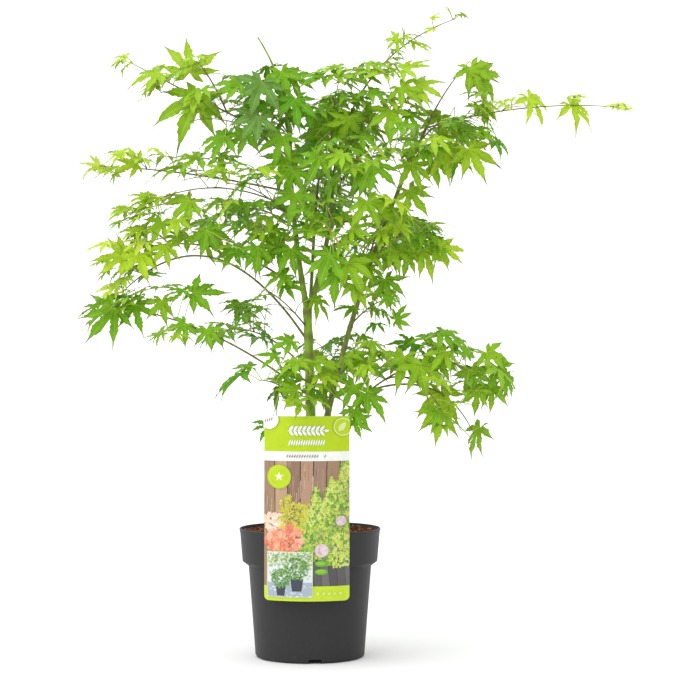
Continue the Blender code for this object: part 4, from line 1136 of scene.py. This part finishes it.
def build_foliage(routes, room):
    masses = grown_masses(routes, room)
    nodes = ["foliage_" + spray.name for spray in SPRAYS]
    chance = random.Random(FOLIAGE_SEED)
    stems, twigs, stalks = Pile("knot", "thin"), Pile(), Pile()
    for mass in masses:
        bare_tip = mass.spray.leafy_to < 1.0
        ends = BARE_TIP_WIDTHS if bare_tip else (BOUGH_TIP_WIDTH, STEM_TIP_WIDTH)
        widths = between(*ends, len(mass.stem))
        add_limb(stems, mass.stem, widths, chance, sides=8, spacing=0.024, thin=0.1 if bare_tip else 0.9)
        for number, twig in enumerate(mass.twigs):
            if number in mass.bearing:
                twigs.add(*tube(twig, between(TWIG_WIDTHS[0] / 2, TWIG_WIDTHS[1] / 2, len(twig)), 5))
        for leaf in mass.leaves:
            lift = UP * (leaf.heart - leaf.foot).length * chance.uniform(*STALK_ARCH)
            stalk = bowed(leaf.foot, leaf.heart, lift, STALK_STEPS)
            stalks.add(*tube(stalk, between(PETIOLE_WIDTHS[0] / 2, PETIOLE_WIDTHS[1] / 2, len(stalk)), 4))
    finished(stems.piece("foliage_stems", [bpy.data.materials["green bark"]]), "green_bark", *nodes)
    finished(twigs.piece("twigs", [twig_material()]), "green_bark", *nodes)
    finished(stalks.piece("leaf_stalks", [petiole_material()]), "maple_leaf", *nodes)

    rib, faces = PATTERN[3:]
    for number, tone in enumerate(TONES):
        pile = Pile("rib", "tip")
        for leaf in [leaf for mass in masses for leaf in mass.leaves if leaf.tone == number]:
            points, tips = leaf_points(leaf, chance)
            pile.add(points, faces, rib=rib, tip=tips)
        if pile.count:
            leaves = pile.piece(f"leaves_tone_{number}", [leaf_material(number, tone)], smooth=False)
            finished(leaves, "maple_leaf", *nodes)


# ---- the pot
def mesh_of(name, shape):
    mesh = bpy.data.meshes.new(name)
    shape.to_mesh(mesh)
    shape.free()
    return mesh


def turned_piece(name, profile, steps, material):
    """A profile of radius and height turned round the pot's axis."""
    shape = bmesh.new()
    corners = [shape.verts.new((radius, 0.0, height)) for radius, height in profile]
    edges = [shape.edges.new(pair) for pair in zip(corners, corners[1:])]
    bmesh.ops.spin(
        shape, geom=corners + edges, cent=(0, 0, 0), axis=(0, 0, 1), angle=2 * math.pi, steps=steps
    )
    bmesh.ops.remove_doubles(shape, verts=shape.verts, dist=1e-6)
    bmesh.ops.recalc_face_normals(shape, faces=shape.faces)
    mesh = mesh_of(name, shape)
    mesh.materials.append(material)
    mesh.polygons.foreach_set("use_smooth", [True] * len(mesh.polygons))
    return place(name, mesh)


def arc(centre, radius, first, last, steps):
    """Points of an arc in the profile's plane, from one angle to another in degrees."""
    ways = [polar(radius, math.radians(first + (last - first) * step / steps)) for step in range(steps + 1)]
    return [(centre[0] + x, centre[1] + z) for x, z in ways]


def pot_profile():
    """Radius and height up the inside of the pot, over its lip, down the outside and under its foot."""
    floor = FOOT_RECESS + FLOOR_THICKNESS
    inside = [
        (0.0, floor),
        (POT_BODY_FOOT_RADIUS - POT_WALL - 0.003, floor),
        (POT_BODY_FOOT_RADIUS - POT_WALL, floor + 0.003),
        (POT_BODY_TOP_RADIUS - POT_WALL, BODY_TOP),
        (COLLAR_FOOT_RADIUS - POT_WALL, COLLAR_FOOT + 0.0010),
        (POT_RIM_RADIUS - POT_WALL - 0.0010, POT_HEIGHT - 0.0050),
        (POT_RIM_RADIUS - POT_WALL, POT_HEIGHT - 0.0012),
    ]
    lip, edge = LIP_ROUNDING, COLLAR_ROUNDING
    outside = [
        *arc((POT_RIM_RADIUS - lip, POT_HEIGHT - lip), lip, 100, -10, 8),
        (POT_RIM_RADIUS - 0.0010, POT_HEIGHT - 0.0060),
        (COLLAR_FOOT_RADIUS + 0.0009, COLLAR_FOOT + 0.012),
        *arc((COLLAR_FOOT_RADIUS - edge, COLLAR_FOOT + edge), edge, 0, -75, 5),
        (POT_BODY_TOP_RADIUS + 0.0034, BODY_TOP + 0.0022),
        *arc((POT_BODY_TOP_RADIUS + SHOULDER_ROUNDING, BODY_TOP - 0.0014), SHOULDER_ROUNDING, 110, 180, 4),
        (POT_BODY_FOOT_RADIUS + 0.5 * (POT_BODY_TOP_RADIUS - POT_BODY_FOOT_RADIUS), 0.063),
        *arc((POT_BODY_FOOT_RADIUS - FOOT_ROUNDING, FOOT_ROUNDING), FOOT_ROUNDING, 0, -90, 7),
    ]
    ring_inside = POT_BODY_FOOT_RADIUS - FOOT_ROUNDING - FOOT_RING_WIDTH
    under = [
        (ring_inside, 0.0),
        (ring_inside - 0.0008, FOOT_RECESS),
        (CENTRE_PAD_RADIUS + 0.0006, FOOT_RECESS),
        (CENTRE_PAD_RADIUS, 0.0),
        (0.0, 0.0),
    ]
    return inside + outside + under


def cut_notch(pot, turn):
    """Cut one drainage notch through the foot ring."""
    shape = bmesh.new()
    bmesh.ops.create_cube(shape, size=1.0)
    notch = place("notch", mesh_of("notch", shape))
    notch.scale = (NOTCH_LENGTH, NOTCH_WIDTH, 2 * NOTCH_HEIGHT)
    notch.location = (*polar(POT_BODY_FOOT_RADIUS, turn), 0.0)
    notch.rotation_euler = (0.0, 0.0, turn)
    cut = pot.modifiers.new("notch", "BOOLEAN")
    cut.operation = "DIFFERENCE"
    cut.object = notch
    bpy.context.view_layer.update()
    cut_mesh = bpy.data.meshes.new_from_object(pot.evaluated_get(bpy.context.evaluated_depsgraph_get()))
    pot.modifiers.clear()
    pot.data = cut_mesh
    bpy.data.objects.remove(notch)


def build_pot():
    pot = turned_piece("nursery_pot", pot_profile(), POT_STEPS, plastic_material())
    for number in range(4):
        cut_notch(pot, NOTCH_TURN - math.pi / 2 + number * math.pi / 2)
    sharp = pot.data.attributes.get("sharp_edge") or pot.data.attributes.new("sharp_edge", "BOOLEAN", "EDGE")
    shape = bmesh.new()
    shape.from_mesh(pot.data)
    flags = [len(e.link_faces) == 2 and e.calc_face_angle(0.0) > SHARPEST_BEND for e in shape.edges]
    shape.free()
    sharp.data.foreach_set("value", flags)
    finished(pot, "pot_plastic", "pot")


# ---- the potting mix
def mix_height(x, y):
    """The height of the mix: mounded round the trunk, and lumpy."""
    radius = math.hypot(x, y)
    height = MIX_CROWN_HEIGHT + MIX_FLUFF - MIX_SLOPE * max(0.0, radius - MIX_FLAT)
    for rise, grain, layer in MIX_LUMPS:
        height += rise * noise.noise((x * grain, y * grain, layer))
    return height


def build_bed():
    """The firm bed: rings of points from its middle out, and a hidden edge below."""
    turns = [2 * math.pi * turn / BED_TURNS for turn in range(BED_TURNS)]
    points = [(0.0, 0.0, mix_height(0.0, 0.0))]
    for ring in range(1, BED_RINGS + 1):
        for x, y in [polar(BED_RADIUS * ring / BED_RINGS, angle) for angle in turns]:
            points.append((x, y, mix_height(x, y)))
    points += [(*polar(BED_FOOT[0], angle), BED_FOOT[1]) for angle in turns]
    faces = [(0, here, there) for here, there in ring_edges(1, BED_TURNS)]
    for ring in range(BED_RINGS):
        for here, there in ring_edges(1 + ring * BED_TURNS, BED_TURNS):
            faces.append((here, here + BED_TURNS, there + BED_TURNS, there))
    faces.append(tuple(range(len(points) - BED_TURNS, len(points)))[::-1])
    bed = Pile()
    bed.add(points, faces)
    soil = crumb_material("coir bed", (92, 52, 34), (134, 80, 50))
    finished(bed.piece("potting_mix_bed", [soil]), "potting_mix", "potting_mix")


def strewn(chance, reach, hole):
    """A random place on the mix within this reach of the middle."""
    return polar(reach * math.sqrt(chance.uniform(hole, 1)), chance.uniform(0, 2 * math.pi))


def chip_corners(chance, x, y):
    """The eight corners of a rough, flattish chip that lies on the mix."""
    centre = Vector((x, y, mix_height(x, y) + chance.uniform(-0.0004, 0.0016)))
    size = chance.uniform(*CHIP_SIZE)
    long_way = Vector((chance.gauss(0, 1), chance.gauss(0, 1), chance.gauss(0, 0.35))).normalized()
    wide_way = across(long_way, loose(chance) + Vector((0.01, 0.02, 0.1)))
    flat_way = long_way.cross(wide_way)
    corners = []
    for c in (-1, 1):
        for a, b in ((-1, -1), (1, -1), (1, 1), (-1, 1)):
            i, j, k = (chance.uniform(0.55, 1.15) for _ in range(3))
            corner = a * i * long_way + 0.55 * b * j * wide_way + 0.30 * c * k * flat_way
            corners.append(centre + size * corner)
    return corners


def fibre_route(chance, x, y):
    """The points of a curled fibre that sets out from this place over the mix."""
    heading = chance.uniform(0, 2 * math.pi)
    bend = chance.uniform(-1.6, 1.6)
    step = chance.uniform(0.0010, 0.0024)
    points = []
    for number in range(FIBRE_STEPS + 1):
        lift = 0.0005 + 0.0009 * math.sin(math.pi * number / FIBRE_STEPS) * chance.uniform(0.2, 1.6)
        points.append(Vector((x, y, mix_height(x, y) + lift)))
        x += step * math.cos(heading)
        y += step * math.sin(heading)
        heading += bend / FIBRE_STEPS
    return points


def build_mix():
    build_bed()
    chance = random.Random(MIX_SEED)
    chips, fibres = Pile(), Pile()
    box = [(0, 3, 2, 1), (4, 5, 6, 7), (0, 1, 5, 4), (1, 2, 6, 5), (2, 3, 7, 6), (3, 0, 4, 7)]
    for _ in range(CHIPS):
        x, y = strewn(chance, 0.0885, 0.02)
        if math.hypot(x, y) >= 0.015:
            chips.add(chip_corners(chance, x, y), box, chance.choice((0, 0, 1, 2)))
    barks = [
        crumb_material("bark chip brown", (104, 62, 40), (70, 42, 28)),
        crumb_material("bark chip red", (142, 80, 48), (110, 60, 38)),
        crumb_material("bark chip tan", (170, 122, 82), (132, 88, 56)),
    ]
    finished(chips.piece("bark_chips", barks, smooth=False), "potting_mix", "potting_mix")
    for _ in range(FIBRES):
        points = fibre_route(chance, *strewn(chance, 0.086, 0.03))
        if max(math.hypot(p.x, p.y) for p in points) < 0.0905:
            fibres.add(*tube(points, [FIBRE_RADIUS] * len(points), 3))
    coir = crumb_material("coir fibre", (176, 112, 66), (128, 72, 40))
    finished(fibres.piece("coir_fibres", [coir]), "potting_mix", "potting_mix")


# ---- the label
def on_card(x, z, lift):
    """A place on the card, from its middle line and above its foot, at this height off its face."""
    turn = math.asin(x / CARD_RADIUS) - math.pi / 2 + LABEL_TURN
    return *polar(CARD_RADIUS + LABEL_THICKNESS + lift, turn), LABEL_FOOT + z


def circle(x, z, wide, tall=None, steps=32):
    tall = wide if tall is None else tall
    angles = [2 * math.pi * step / steps for step in range(steps)]
    return [(x + wide * math.cos(a), z + tall * math.sin(a)) for a in angles]


def box_shape(x0, z0, x1, z1, lean=0.0):
    return [(x0, z0), (x1, z0), (x1 + lean, z1), (x0 + lean, z1)]


def star(x, z, size, turn, points=5, depth=0.42):
    """A small pointed leaf of several lobes."""
    reaches = [size, size * depth] * points
    ways = [polar(reach, turn + math.pi * number / points) for number, reach in enumerate(reaches)]
    return [(x + aside, z + up) for aside, up in ways]


def blade_shape(x, z, size, turn, wide=0.26):
    """A single narrow leaf."""
    outline = [(0.0, 0.0), (0.35, wide), (0.7, 0.8 * wide), (1.0, 0.0), (0.7, -0.8 * wide), (0.35, -wide)]
    cos, sin = math.cos(turn) * size, math.sin(turn) * size
    return [(x + u * cos - w * sin, z + u * sin + w * cos) for u, w in outline]


def sprig(x, z, size, turn, blades=3, spread=0.50, wide=0.11):
    """The outlines of a small fan of narrow leaves."""
    middle = (blades - 1) / 2
    return [
        blade_shape(x, z, size * (1 - 0.14 * abs(number - middle)), turn + spread * (number - middle), wide)
        for number in range(blades)
    ]


class Print:
    """Flat printed shapes laid on the card, each kept inside its frame and a little over the last."""

    def __init__(self):
        self.pile = Pile()
        self.inks = []
        self.names = {}
        self.layer = 0

    def ink(self, colour):
        if colour not in self.names:
            self.names[colour] = len(self.inks)
            self.inks.append(ink("%d %d %d" % colour, colour))
        return self.names[colour]

    def rise(self):
        """Start the next layer of shapes."""
        self.layer += 1

    def lay(self, outline, colour, window=None):
        """Add a shape, cut off at its window and split into strips that follow the card's curve."""
        shape = bmesh.new()
        shape.faces.new([shape.verts.new((x, 0.0, z)) for x, z in outline])

        def cut(place_of, way, **sides):
            everything = shape.verts[:] + shape.edges[:] + shape.faces[:]
            bmesh.ops.bisect_plane(shape, geom=everything, plane_co=place_of, plane_no=way, **sides)

        if window:
            left, low, right, high = window
            cut((left, 0, 0), (-1, 0, 0), clear_outer=True)
            cut((right, 0, 0), (1, 0, 0), clear_outer=True)
            cut((0, 0, low), (0, 0, -1), clear_outer=True)
            cut((0, 0, high), (0, 0, 1), clear_outer=True)
        places = [v.co.x / CARD_STRIP for v in shape.verts] or [0.0]
        for number in range(math.ceil(min(places)), math.ceil(max(places))):
            cut((number * CARD_STRIP, 0, 0), (1, 0, 0))
        shape.verts.index_update()
        points = [on_card(v.co.x, v.co.z, INK_LAYER * (1 + self.layer)) for v in shape.verts]
        faces = []
        for face in shape.faces:
            ring = face.verts[:]
            area = sum(a.co.x * b.co.z - b.co.x * a.co.z for a, b in zip(ring, ring[-1:] + ring[:-1]))
            corners = tuple(v.index for v in ring)
            faces.append(corners if area < 0 else corners[::-1])
        shape.free()
        if faces:
            self.pile.add(points, faces, self.ink(colour))

    def lay_sprig(self, chance, tones, window, *fan):
        for blade in sprig(*fan):
            self.lay(blade, chance.choice(tones), window)

    def lay_row(self, colour, window, start, step, numbers, size, degrees, wide):
        """A row of narrow leaves, which stands where the photographed label has words."""
        for number in numbers:
            x, z = start[0] + step[0] * number, start[1] + step[1] * number
            self.lay(blade_shape(x, z, size, math.radians(degrees), wide), colour, window)


def build_card():
    """The card itself, with round lower corners, and the tongue that hooks it over the rim."""
    inside = LABEL_HALF - LABEL_CORNER
    even = [inside * (2 * step / 36 - 1) for step in range(37)]
    corner = [inside + LABEL_CORNER * math.sin(math.radians(turn)) for turn in range(9, 91, 9)]
    columns = [-place_of for place_of in reversed(corner)] + even + corner
    points, faces = [], []
    for lift in (0.0, -LABEL_THICKNESS):
        for x in columns:
            past = max(0.0, abs(x) - inside)
            foot = LABEL_CORNER - math.sqrt(max(0.0, LABEL_CORNER**2 - past**2))
            points += [on_card(x, foot, lift), on_card(x, LABEL_TALL, lift)]
    back = 2 * len(columns)
    last = back - 2
    for a in range(0, last, 2):
        faces.append((a, a + 2, a + 3, a + 1))
        faces.append((back + a, back + a + 1, back + a + 3, back + a + 2))
        faces.append((a, back + a, back + a + 2, a + 2))
        faces.append((a + 1, a + 3, back + a + 3, back + a + 1))
    faces.append((0, 1, back + 1, back))
    faces.append((last, back + last, back + last + 1, last + 1))
    card = Pile()
    card.add(points, faces)
    top = POT_HEIGHT + GAP
    near, far = POT_RIM_RADIUS - POT_WALL - 0.0032, CARD_RADIUS + 0.0003
    for far, low, high in (
        (far, top, top + TONGUE_THICKNESS),
        (near + TONGUE_THICKNESS, top - TONGUE_DROP, top + 0.0002),
    ):
        box = []
        for x in (-TONGUE_HALF_WIDTH, TONGUE_HALF_WIDTH):
            for distance, height in ((near, low), (far, low), (far, high), (near, high)):
                turn = math.asin(x / distance) - math.pi / 2 + LABEL_TURN
                box.append((*polar(distance, turn), height))
        card.add(box, [(0, 1, 2, 3), (4, 7, 6, 5), (0, 4, 5, 1), (1, 5, 6, 2), (2, 6, 7, 3), (3, 7, 4, 0)])
    stock = ink("card stock", (226, 232, 214), 0.008)
    finished(card.piece("care_card", [stock], smooth=False), "label_card", "care_label")


def at(x, z):
    """The place on the card of a place in the picture, given as shares of its width and height."""
    left, low, right, high = PICTURE
    return left + (right - left) * x, low + (high - low) * z


def scattered(chance, x, z, wide, tall):
    """A random place in an ellipse round this one."""
    angle, reach = chance.uniform(0, 6.28), math.sqrt(chance.random())
    return x + wide * reach * math.cos(angle), z + tall * reach * math.sin(angle)


def print_bands(art):
    left, low, right, high = PICTURE
    art.lay(box_shape(*HEADER), LIME)
    art.lay(box_shape(left, high, right, HEADER[1]), WHITE)
    turns = np.linspace(0, math.pi / 2, 8)
    corner = [(left + 0.006 - 0.006 * math.cos(a), 0.006 - 0.006 * math.sin(a)) for a in turns]
    footer = corner + [(-x, z) for x, z in corner[::-1]] + [(right, low), (left, low)]
    art.lay(footer, (204, 230, 50))


def print_fence(art, chance):
    """A fence of weathered planks that fans out a little towards the top."""
    left, low, right, high = PICTURE
    art.lay(box_shape(*PICTURE), (88, 68, 54))
    art.rise()
    planks = ((164, 132, 104), (194, 160, 128), (150, 118, 96), (184, 148, 120), (162, 130, 110))
    wide = (right - left) / FENCE_PLANKS
    for number in range(FENCE_PLANKS):
        x = left + wide * number
        plank = box_shape(x + 0.0002, low, x + wide - 0.0002, high, 0.0012 * (number - 2))
        art.lay(plank, planks[number % len(planks)], PICTURE)
    art.rise()
    streaks = ((140, 110, 86), (216, 188, 158), (128, 100, 80), (232, 210, 184))
    for _ in range(150):
        x, z = chance.uniform(left, right), chance.uniform(at(0, 0.3)[1], high)
        streak = chance.choice(streaks)
        x1, z1 = x + chance.uniform(0.0002, 0.0006), z + chance.uniform(0.006, 0.026)
        art.lay(box_shape(x, z, x1, z1, 0.0004), streak, PICTURE)


def print_decking(art):
    """Grey decking along the picture's foot."""
    _, low, right, _ = PICTURE
    art.lay(box_shape(at(0.30, 0)[0], low, right, low + 0.038), (44, 42, 44), PICTURE)
    art.rise()
    decks = ((96, 94, 92), (112, 110, 108), (88, 86, 84))
    for number in range(8):
        x, _ = at(0.32 + 0.092 * number, 0)
        art.lay(box_shape(x, low, x + 0.0098, low + 0.037, -0.004), decks[number % len(decks)], PICTURE)
    art.rise()


def print_shrub(art, chance):
    """A feathery shrub up the right-hand edge, green within and yellow-green at its tips."""
    spires = ((0.50, 0.66), (0.62, 0.80), (0.80, 0.88), (0.97, 1.06))
    shade = ((92, 142, 60), (112, 162, 66), (132, 178, 78))
    bright = ((148, 194, 76), (176, 210, 84), (202, 224, 92), (220, 232, 92), (234, 242, 150))
    layers = (
        ("within", shade, 150, 0.0090, 5, 0.16),
        ("within", shade + bright[:2], 420, 0.0062, 3, 0.10),
        ("within", bright[:4], 420, 0.0056, 3, 0.10),
        ("tips", bright[2:], 330, 0.0050, 3, 0.10),
    )
    for kind, tones, many, size, blades, wide in layers:
        for number in range(many):
            share = 0.42 + 0.58 * chance.random() ** 0.8
            top = max(0.50, *(peak - 2.2 * abs(share - middle) for middle, peak in spires))
            foot = 0.13 + 0.24 * abs(share - 0.86)
            if kind == "within":
                height = foot + (top - foot) * chance.random() ** 0.9
            elif number % 3:
                height = top - 0.24 * chance.random() ** 1.4
            else:
                share, height = chance.uniform(0.80, 1.0), chance.uniform(0.14, 0.40)
            turn = math.radians(90 + 90 * (chance.random() - 0.5))
            length = size * chance.uniform(0.6, 1.2)
            art.lay_sprig(chance, tones, PICTURE, *at(share, height), length, turn, blades, 0.55, wide)
        art.rise()


def print_blooms(art, chance):
    """Coral and peach blooms to the left, with golden leaves over them."""
    corals = ((238, 142, 112), (242, 162, 130), (228, 122, 94), (248, 190, 158))
    peaches = ((252, 224, 202), (248, 208, 182), (254, 234, 216))
    beds = (
        (corals, 46, (0.24, 0.37, 0.22, 0.12), (0.0030, 0.0056)),
        (peaches, 16, (0.12, 0.52, 0.11, 0.07), (0.0026, 0.0046)),
    )
    for _ in range(3):
        for tones, many, bed, sizes in beds:
            for number in range(many):
                x, z = at(*scattered(chance, *bed))
                bloom = star(x, z, chance.uniform(*sizes), chance.uniform(0, 6), 6, 0.62)
                art.lay(bloom, tones[number % len(tones)], PICTURE)
        art.rise()
    for _ in range(30):
        x, z = at(chance.uniform(0.04, 0.44), chance.uniform(0.27, 0.56))
        art.lay(circle(x, z, 0.0008, steps=8), (250, 214, 120), PICTURE)
    golden = ((222, 200, 62), (206, 212, 70), (236, 218, 96), (168, 190, 62))
    for _ in range(150):
        share = chance.uniform(0.20, 0.50)
        x, z = at(share, chance.uniform(0.50, 0.72) - 0.5 * abs(share - 0.30))
        tone = chance.choice(golden)
        size, turn = chance.uniform(0.0034, 0.0060), math.radians(chance.uniform(50, 130))
        for blade in sprig(x, z, size, turn, 3, 0.7, 0.15):
            art.lay(blade, tone, PICTURE)
    art.rise()


def print_balls(art, chance):
    """Two pale flower balls and two green pads."""
    petals = ((246, 236, 238), (214, 172, 184), (238, 220, 226))
    for share, height, size in ((0.68, 0.285, 0.0088), (0.90, 0.52, 0.0066)):
        x, z = at(share, height)
        art.lay(circle(x, z, size), (228, 206, 210), PICTURE)
        art.rise()
        for _ in range(26):
            place_of = scattered(chance, x, z, size * 0.8, size * 0.8)
            petal = chance.choice(petals)
            art.lay(circle(*place_of, size * 0.16, steps=8), petal, PICTURE)
    for height in (0.115, 0.180):
        x, z = at(0.675, height)
        art.lay(circle(x, z, 0.0084, 0.0040), (112, 176, 44), PICTURE)
        art.rise()
        art.lay(circle(x - 0.0008, z + 0.0006, 0.0060, 0.0024), (142, 198, 66), PICTURE)


def print_badge(art):
    """A round lime badge with a plain pale ring and a small leaf."""
    x, z = at(0.185, 1)[0], PICTURE[3] - 0.0205
    for radius, colour in ((0.0156, LIME), (0.0128, (206, 228, 84)), (0.0120, LIME)):
        art.rise()
        art.lay(circle(x, z, radius, steps=48), colour)
    art.rise()
    art.lay(star(x, z, 0.0066, math.pi / 2, 5, 0.40), (240, 246, 208))


def print_inset(art, chance):
    """The small picture in the corner, with a pale lime frame: two potted bushes before greenery."""
    art.lay(box_shape(*INSET), (216, 232, 150))
    art.rise()
    inner = (*(v + INSET_BORDER for v in INSET[:2]), *(v - INSET_BORDER for v in INSET[2:]))
    left, low, right, high = inner
    art.lay(box_shape(*inner), (226, 234, 238))
    art.rise()
    art.lay(box_shape(left, low, right, low + 0.019), (172, 184, 198), inner)
    for _ in range(30):
        x, z = chance.uniform(left, right), chance.uniform(low, low + 0.020)
        art.lay(circle(x, z, chance.uniform(0.0006, 0.0024), 0.0006, 10), (232, 238, 244), inner)
    greenery = ((166, 198, 108), (140, 178, 88), (196, 214, 140), (112, 150, 74))
    for _ in range(260):
        x = chance.uniform(left, right)
        z = high - abs(chance.gauss(0, 0.013))
        art.lay_sprig(chance, greenery, inner, x, z, chance.uniform(0.0026, 0.0046), chance.uniform(0, 6))
    for x, z, wide in ((0.16, 0.80, 0.0075), (0.10, 0.70, 0.0060), (0.30, 0.74, 0.0055)):
        art.lay(circle(left + 0.062 * x, low + 0.062 * z, wide, 0.0014, 12), (240, 240, 238), inner)
    art.rise()
    bush = ((70, 130, 56), (96, 156, 64), (128, 182, 84), (56, 112, 62), (156, 200, 104))
    for share, foot, size in ((0.30, 0.0070, 0.9), (0.66, 0.0130, 1.15)):
        x = left + (right - left) * share
        base, rim, rim_height = 0.0052 * size, 0.0072 * size, foot + 0.014 * size
        tub = [(x - base, foot), (x + base, foot), (x + rim, rim_height), (x - rim, rim_height)]
        art.lay(tub, (66, 72, 84), inner)
        art.rise()
        for _ in range(190):
            angle, reach = chance.uniform(0, 6.28), 0.0125 * size * math.sqrt(chance.random())
            place_x = x + reach * math.cos(angle)
            place_z = foot + 0.025 * size + 0.95 * reach * math.sin(angle)
            length, turn = chance.uniform(0.0024, 0.0042), angle + chance.uniform(-0.6, 0.6)
            art.lay_sprig(chance, bush, inner, place_x, place_z, length, turn)
        art.rise()


def print_header(art):
    """A white corner, a pale ring with a leaf, and rows of leaves where words would stand."""
    pale, grey = (226, 240, 168), (128, 132, 124)
    art.lay(circle(-LABEL_HALF + 0.0075, LABEL_TALL - 0.0045, 0.0125, steps=40), WHITE, HEADER)
    x, z = LABEL_HALF - 0.0090, LABEL_TALL - 0.0140
    art.lay(circle(x, z, 0.0118, steps=40), pale, HEADER)
    art.rise()
    art.lay(circle(x, z, 0.0104, steps=40), LIME, HEADER)
    art.rise()
    art.lay(blade_shape(x - 0.0055, z - 0.0060, 0.0150, math.radians(52)), pale, HEADER)
    stalk = LABEL_TALL - 0.0190
    art.lay(box_shape(-0.0235, stalk - 0.0004, 0.0230, stalk + 0.0004), WHITE, HEADER)
    for number in range(8):
        for degrees in (-50, 50):
            art.lay_row(WHITE, HEADER, (-0.0215, stalk), (0.0056, 0.0), [number], 0.0088, degrees, 0.22)
    art.lay(blade_shape(0.0225, stalk, 0.0072, 0.0, 0.24), WHITE, HEADER)
    art.lay_row(WHITE, HEADER, (-0.0222, LABEL_TALL - 0.0388), (0.0031, 0.0), range(15), 0.0090, 74, 0.12)
    art.lay_row(grey, None, (-0.0250, LABEL_TALL - 0.0544), (0.0032, 0.0), [*range(13), 15], 0.0052, 64, 0.14)
    art.rise()
    corner = (-LABEL_HALF + 0.0022, LABEL_TALL - 0.0090)
    art.lay_row(grey, HEADER, corner, (0.0028, 0.0008), range(4), 0.0054, 78, 0.13)
    for number in range(5):
        art.lay(circle(0.0150 + 0.0070 * number, 0.0100, 0.0018, steps=16), (222, 238, 150))


def build_print():
    """A generic garden picture in the label's own colours, with no words on it."""
    art, chance = Print(), random.Random(PRINT_SEED)
    print_bands(art)
    print_fence(art, chance)
    print_decking(art)
    print_shrub(art, chance)
    print_blooms(art, chance)
    print_balls(art, chance)
    print_badge(art)
    print_inset(art, chance)
    print_header(art)
    card_print = art.pile.piece("care_card_print", art.inks, smooth=False)
    finished(card_print, "label_card", "care_label")


# ---- the studio
def build_floor():
    shape = bmesh.new()
    bmesh.ops.create_grid(shape, x_segments=1, y_segments=1, size=6.0)
    floor = place("floor", mesh_of("floor", shape))
    floor.location = (0.0, 0.0, -0.0002)
    floor.data.materials.append(Shader("pale floor", (236, 236, 236), 0.9, 0.0).made)


def build_sky():
    """An even white sky, a little dimmer towards the right."""
    world = bpy.data.worlds.new("studio")
    bpy.context.scene.world = world
    world.use_nodes = True
    back = world.node_tree.nodes["Background"]
    back.inputs["Color"].default_value = (1.0, 1.0, 1.0, 1.0)
    way = world.node_tree.nodes.new("ShaderNodeTexCoord").outputs["Generated"]
    parts = world.node_tree.nodes.new("ShaderNodeSeparateXYZ")
    dimmed = world.node_tree.nodes.new("ShaderNodeMapRange")
    for socket, number in (("From Min", 0.25), ("From Max", 1.0), ("To Min", 1.40), ("To Max", 0.90)):
        dimmed.inputs[socket].default_value = number
    world.node_tree.links.new(way, parts.inputs["Vector"])
    world.node_tree.links.new(parts.outputs["X"], dimmed.inputs["Value"])
    world.node_tree.links.new(dimmed.outputs["Result"], back.inputs["Strength"])


def in_scene(name, data, place_of, turn):
    obj = place(name, data)
    obj.location = place_of
    obj.rotation_euler = turn
    return obj


def build_studio():
    build_floor()
    build_sky()
    for name, place_of, strength in (("key", (-2.0, -1.4, 2.0), 1.0), ("fill", (1.8, -1.8, 1.0), 0.05)):
        light = bpy.data.lights.new(name, "SUN")
        light.angle = LIGHT_ANGLE
        light.energy = strength
        in_scene(name, light, place_of, (-Vector(place_of)).to_track_quat("-Z", "Y").to_euler())
    camera = bpy.data.cameras.new("camera")
    camera.sensor_width = 36.0
    camera.lens = CAMERA_LENS
    camera.clip_end = 60.0
    bpy.context.scene.camera = in_scene("camera", camera, CAMERA_PLACE, (math.pi / 2, 0.0, 0.0))
    bpy.context.scene.view_settings.view_transform = "Standard"


def main():
    build_studio()
    routes = limb_routes()
    room = Room()
    build_limbs(routes, room)
    build_foliage(routes, room)
    build_pot()
    build_mix()
    build_card()
    build_print()


main()
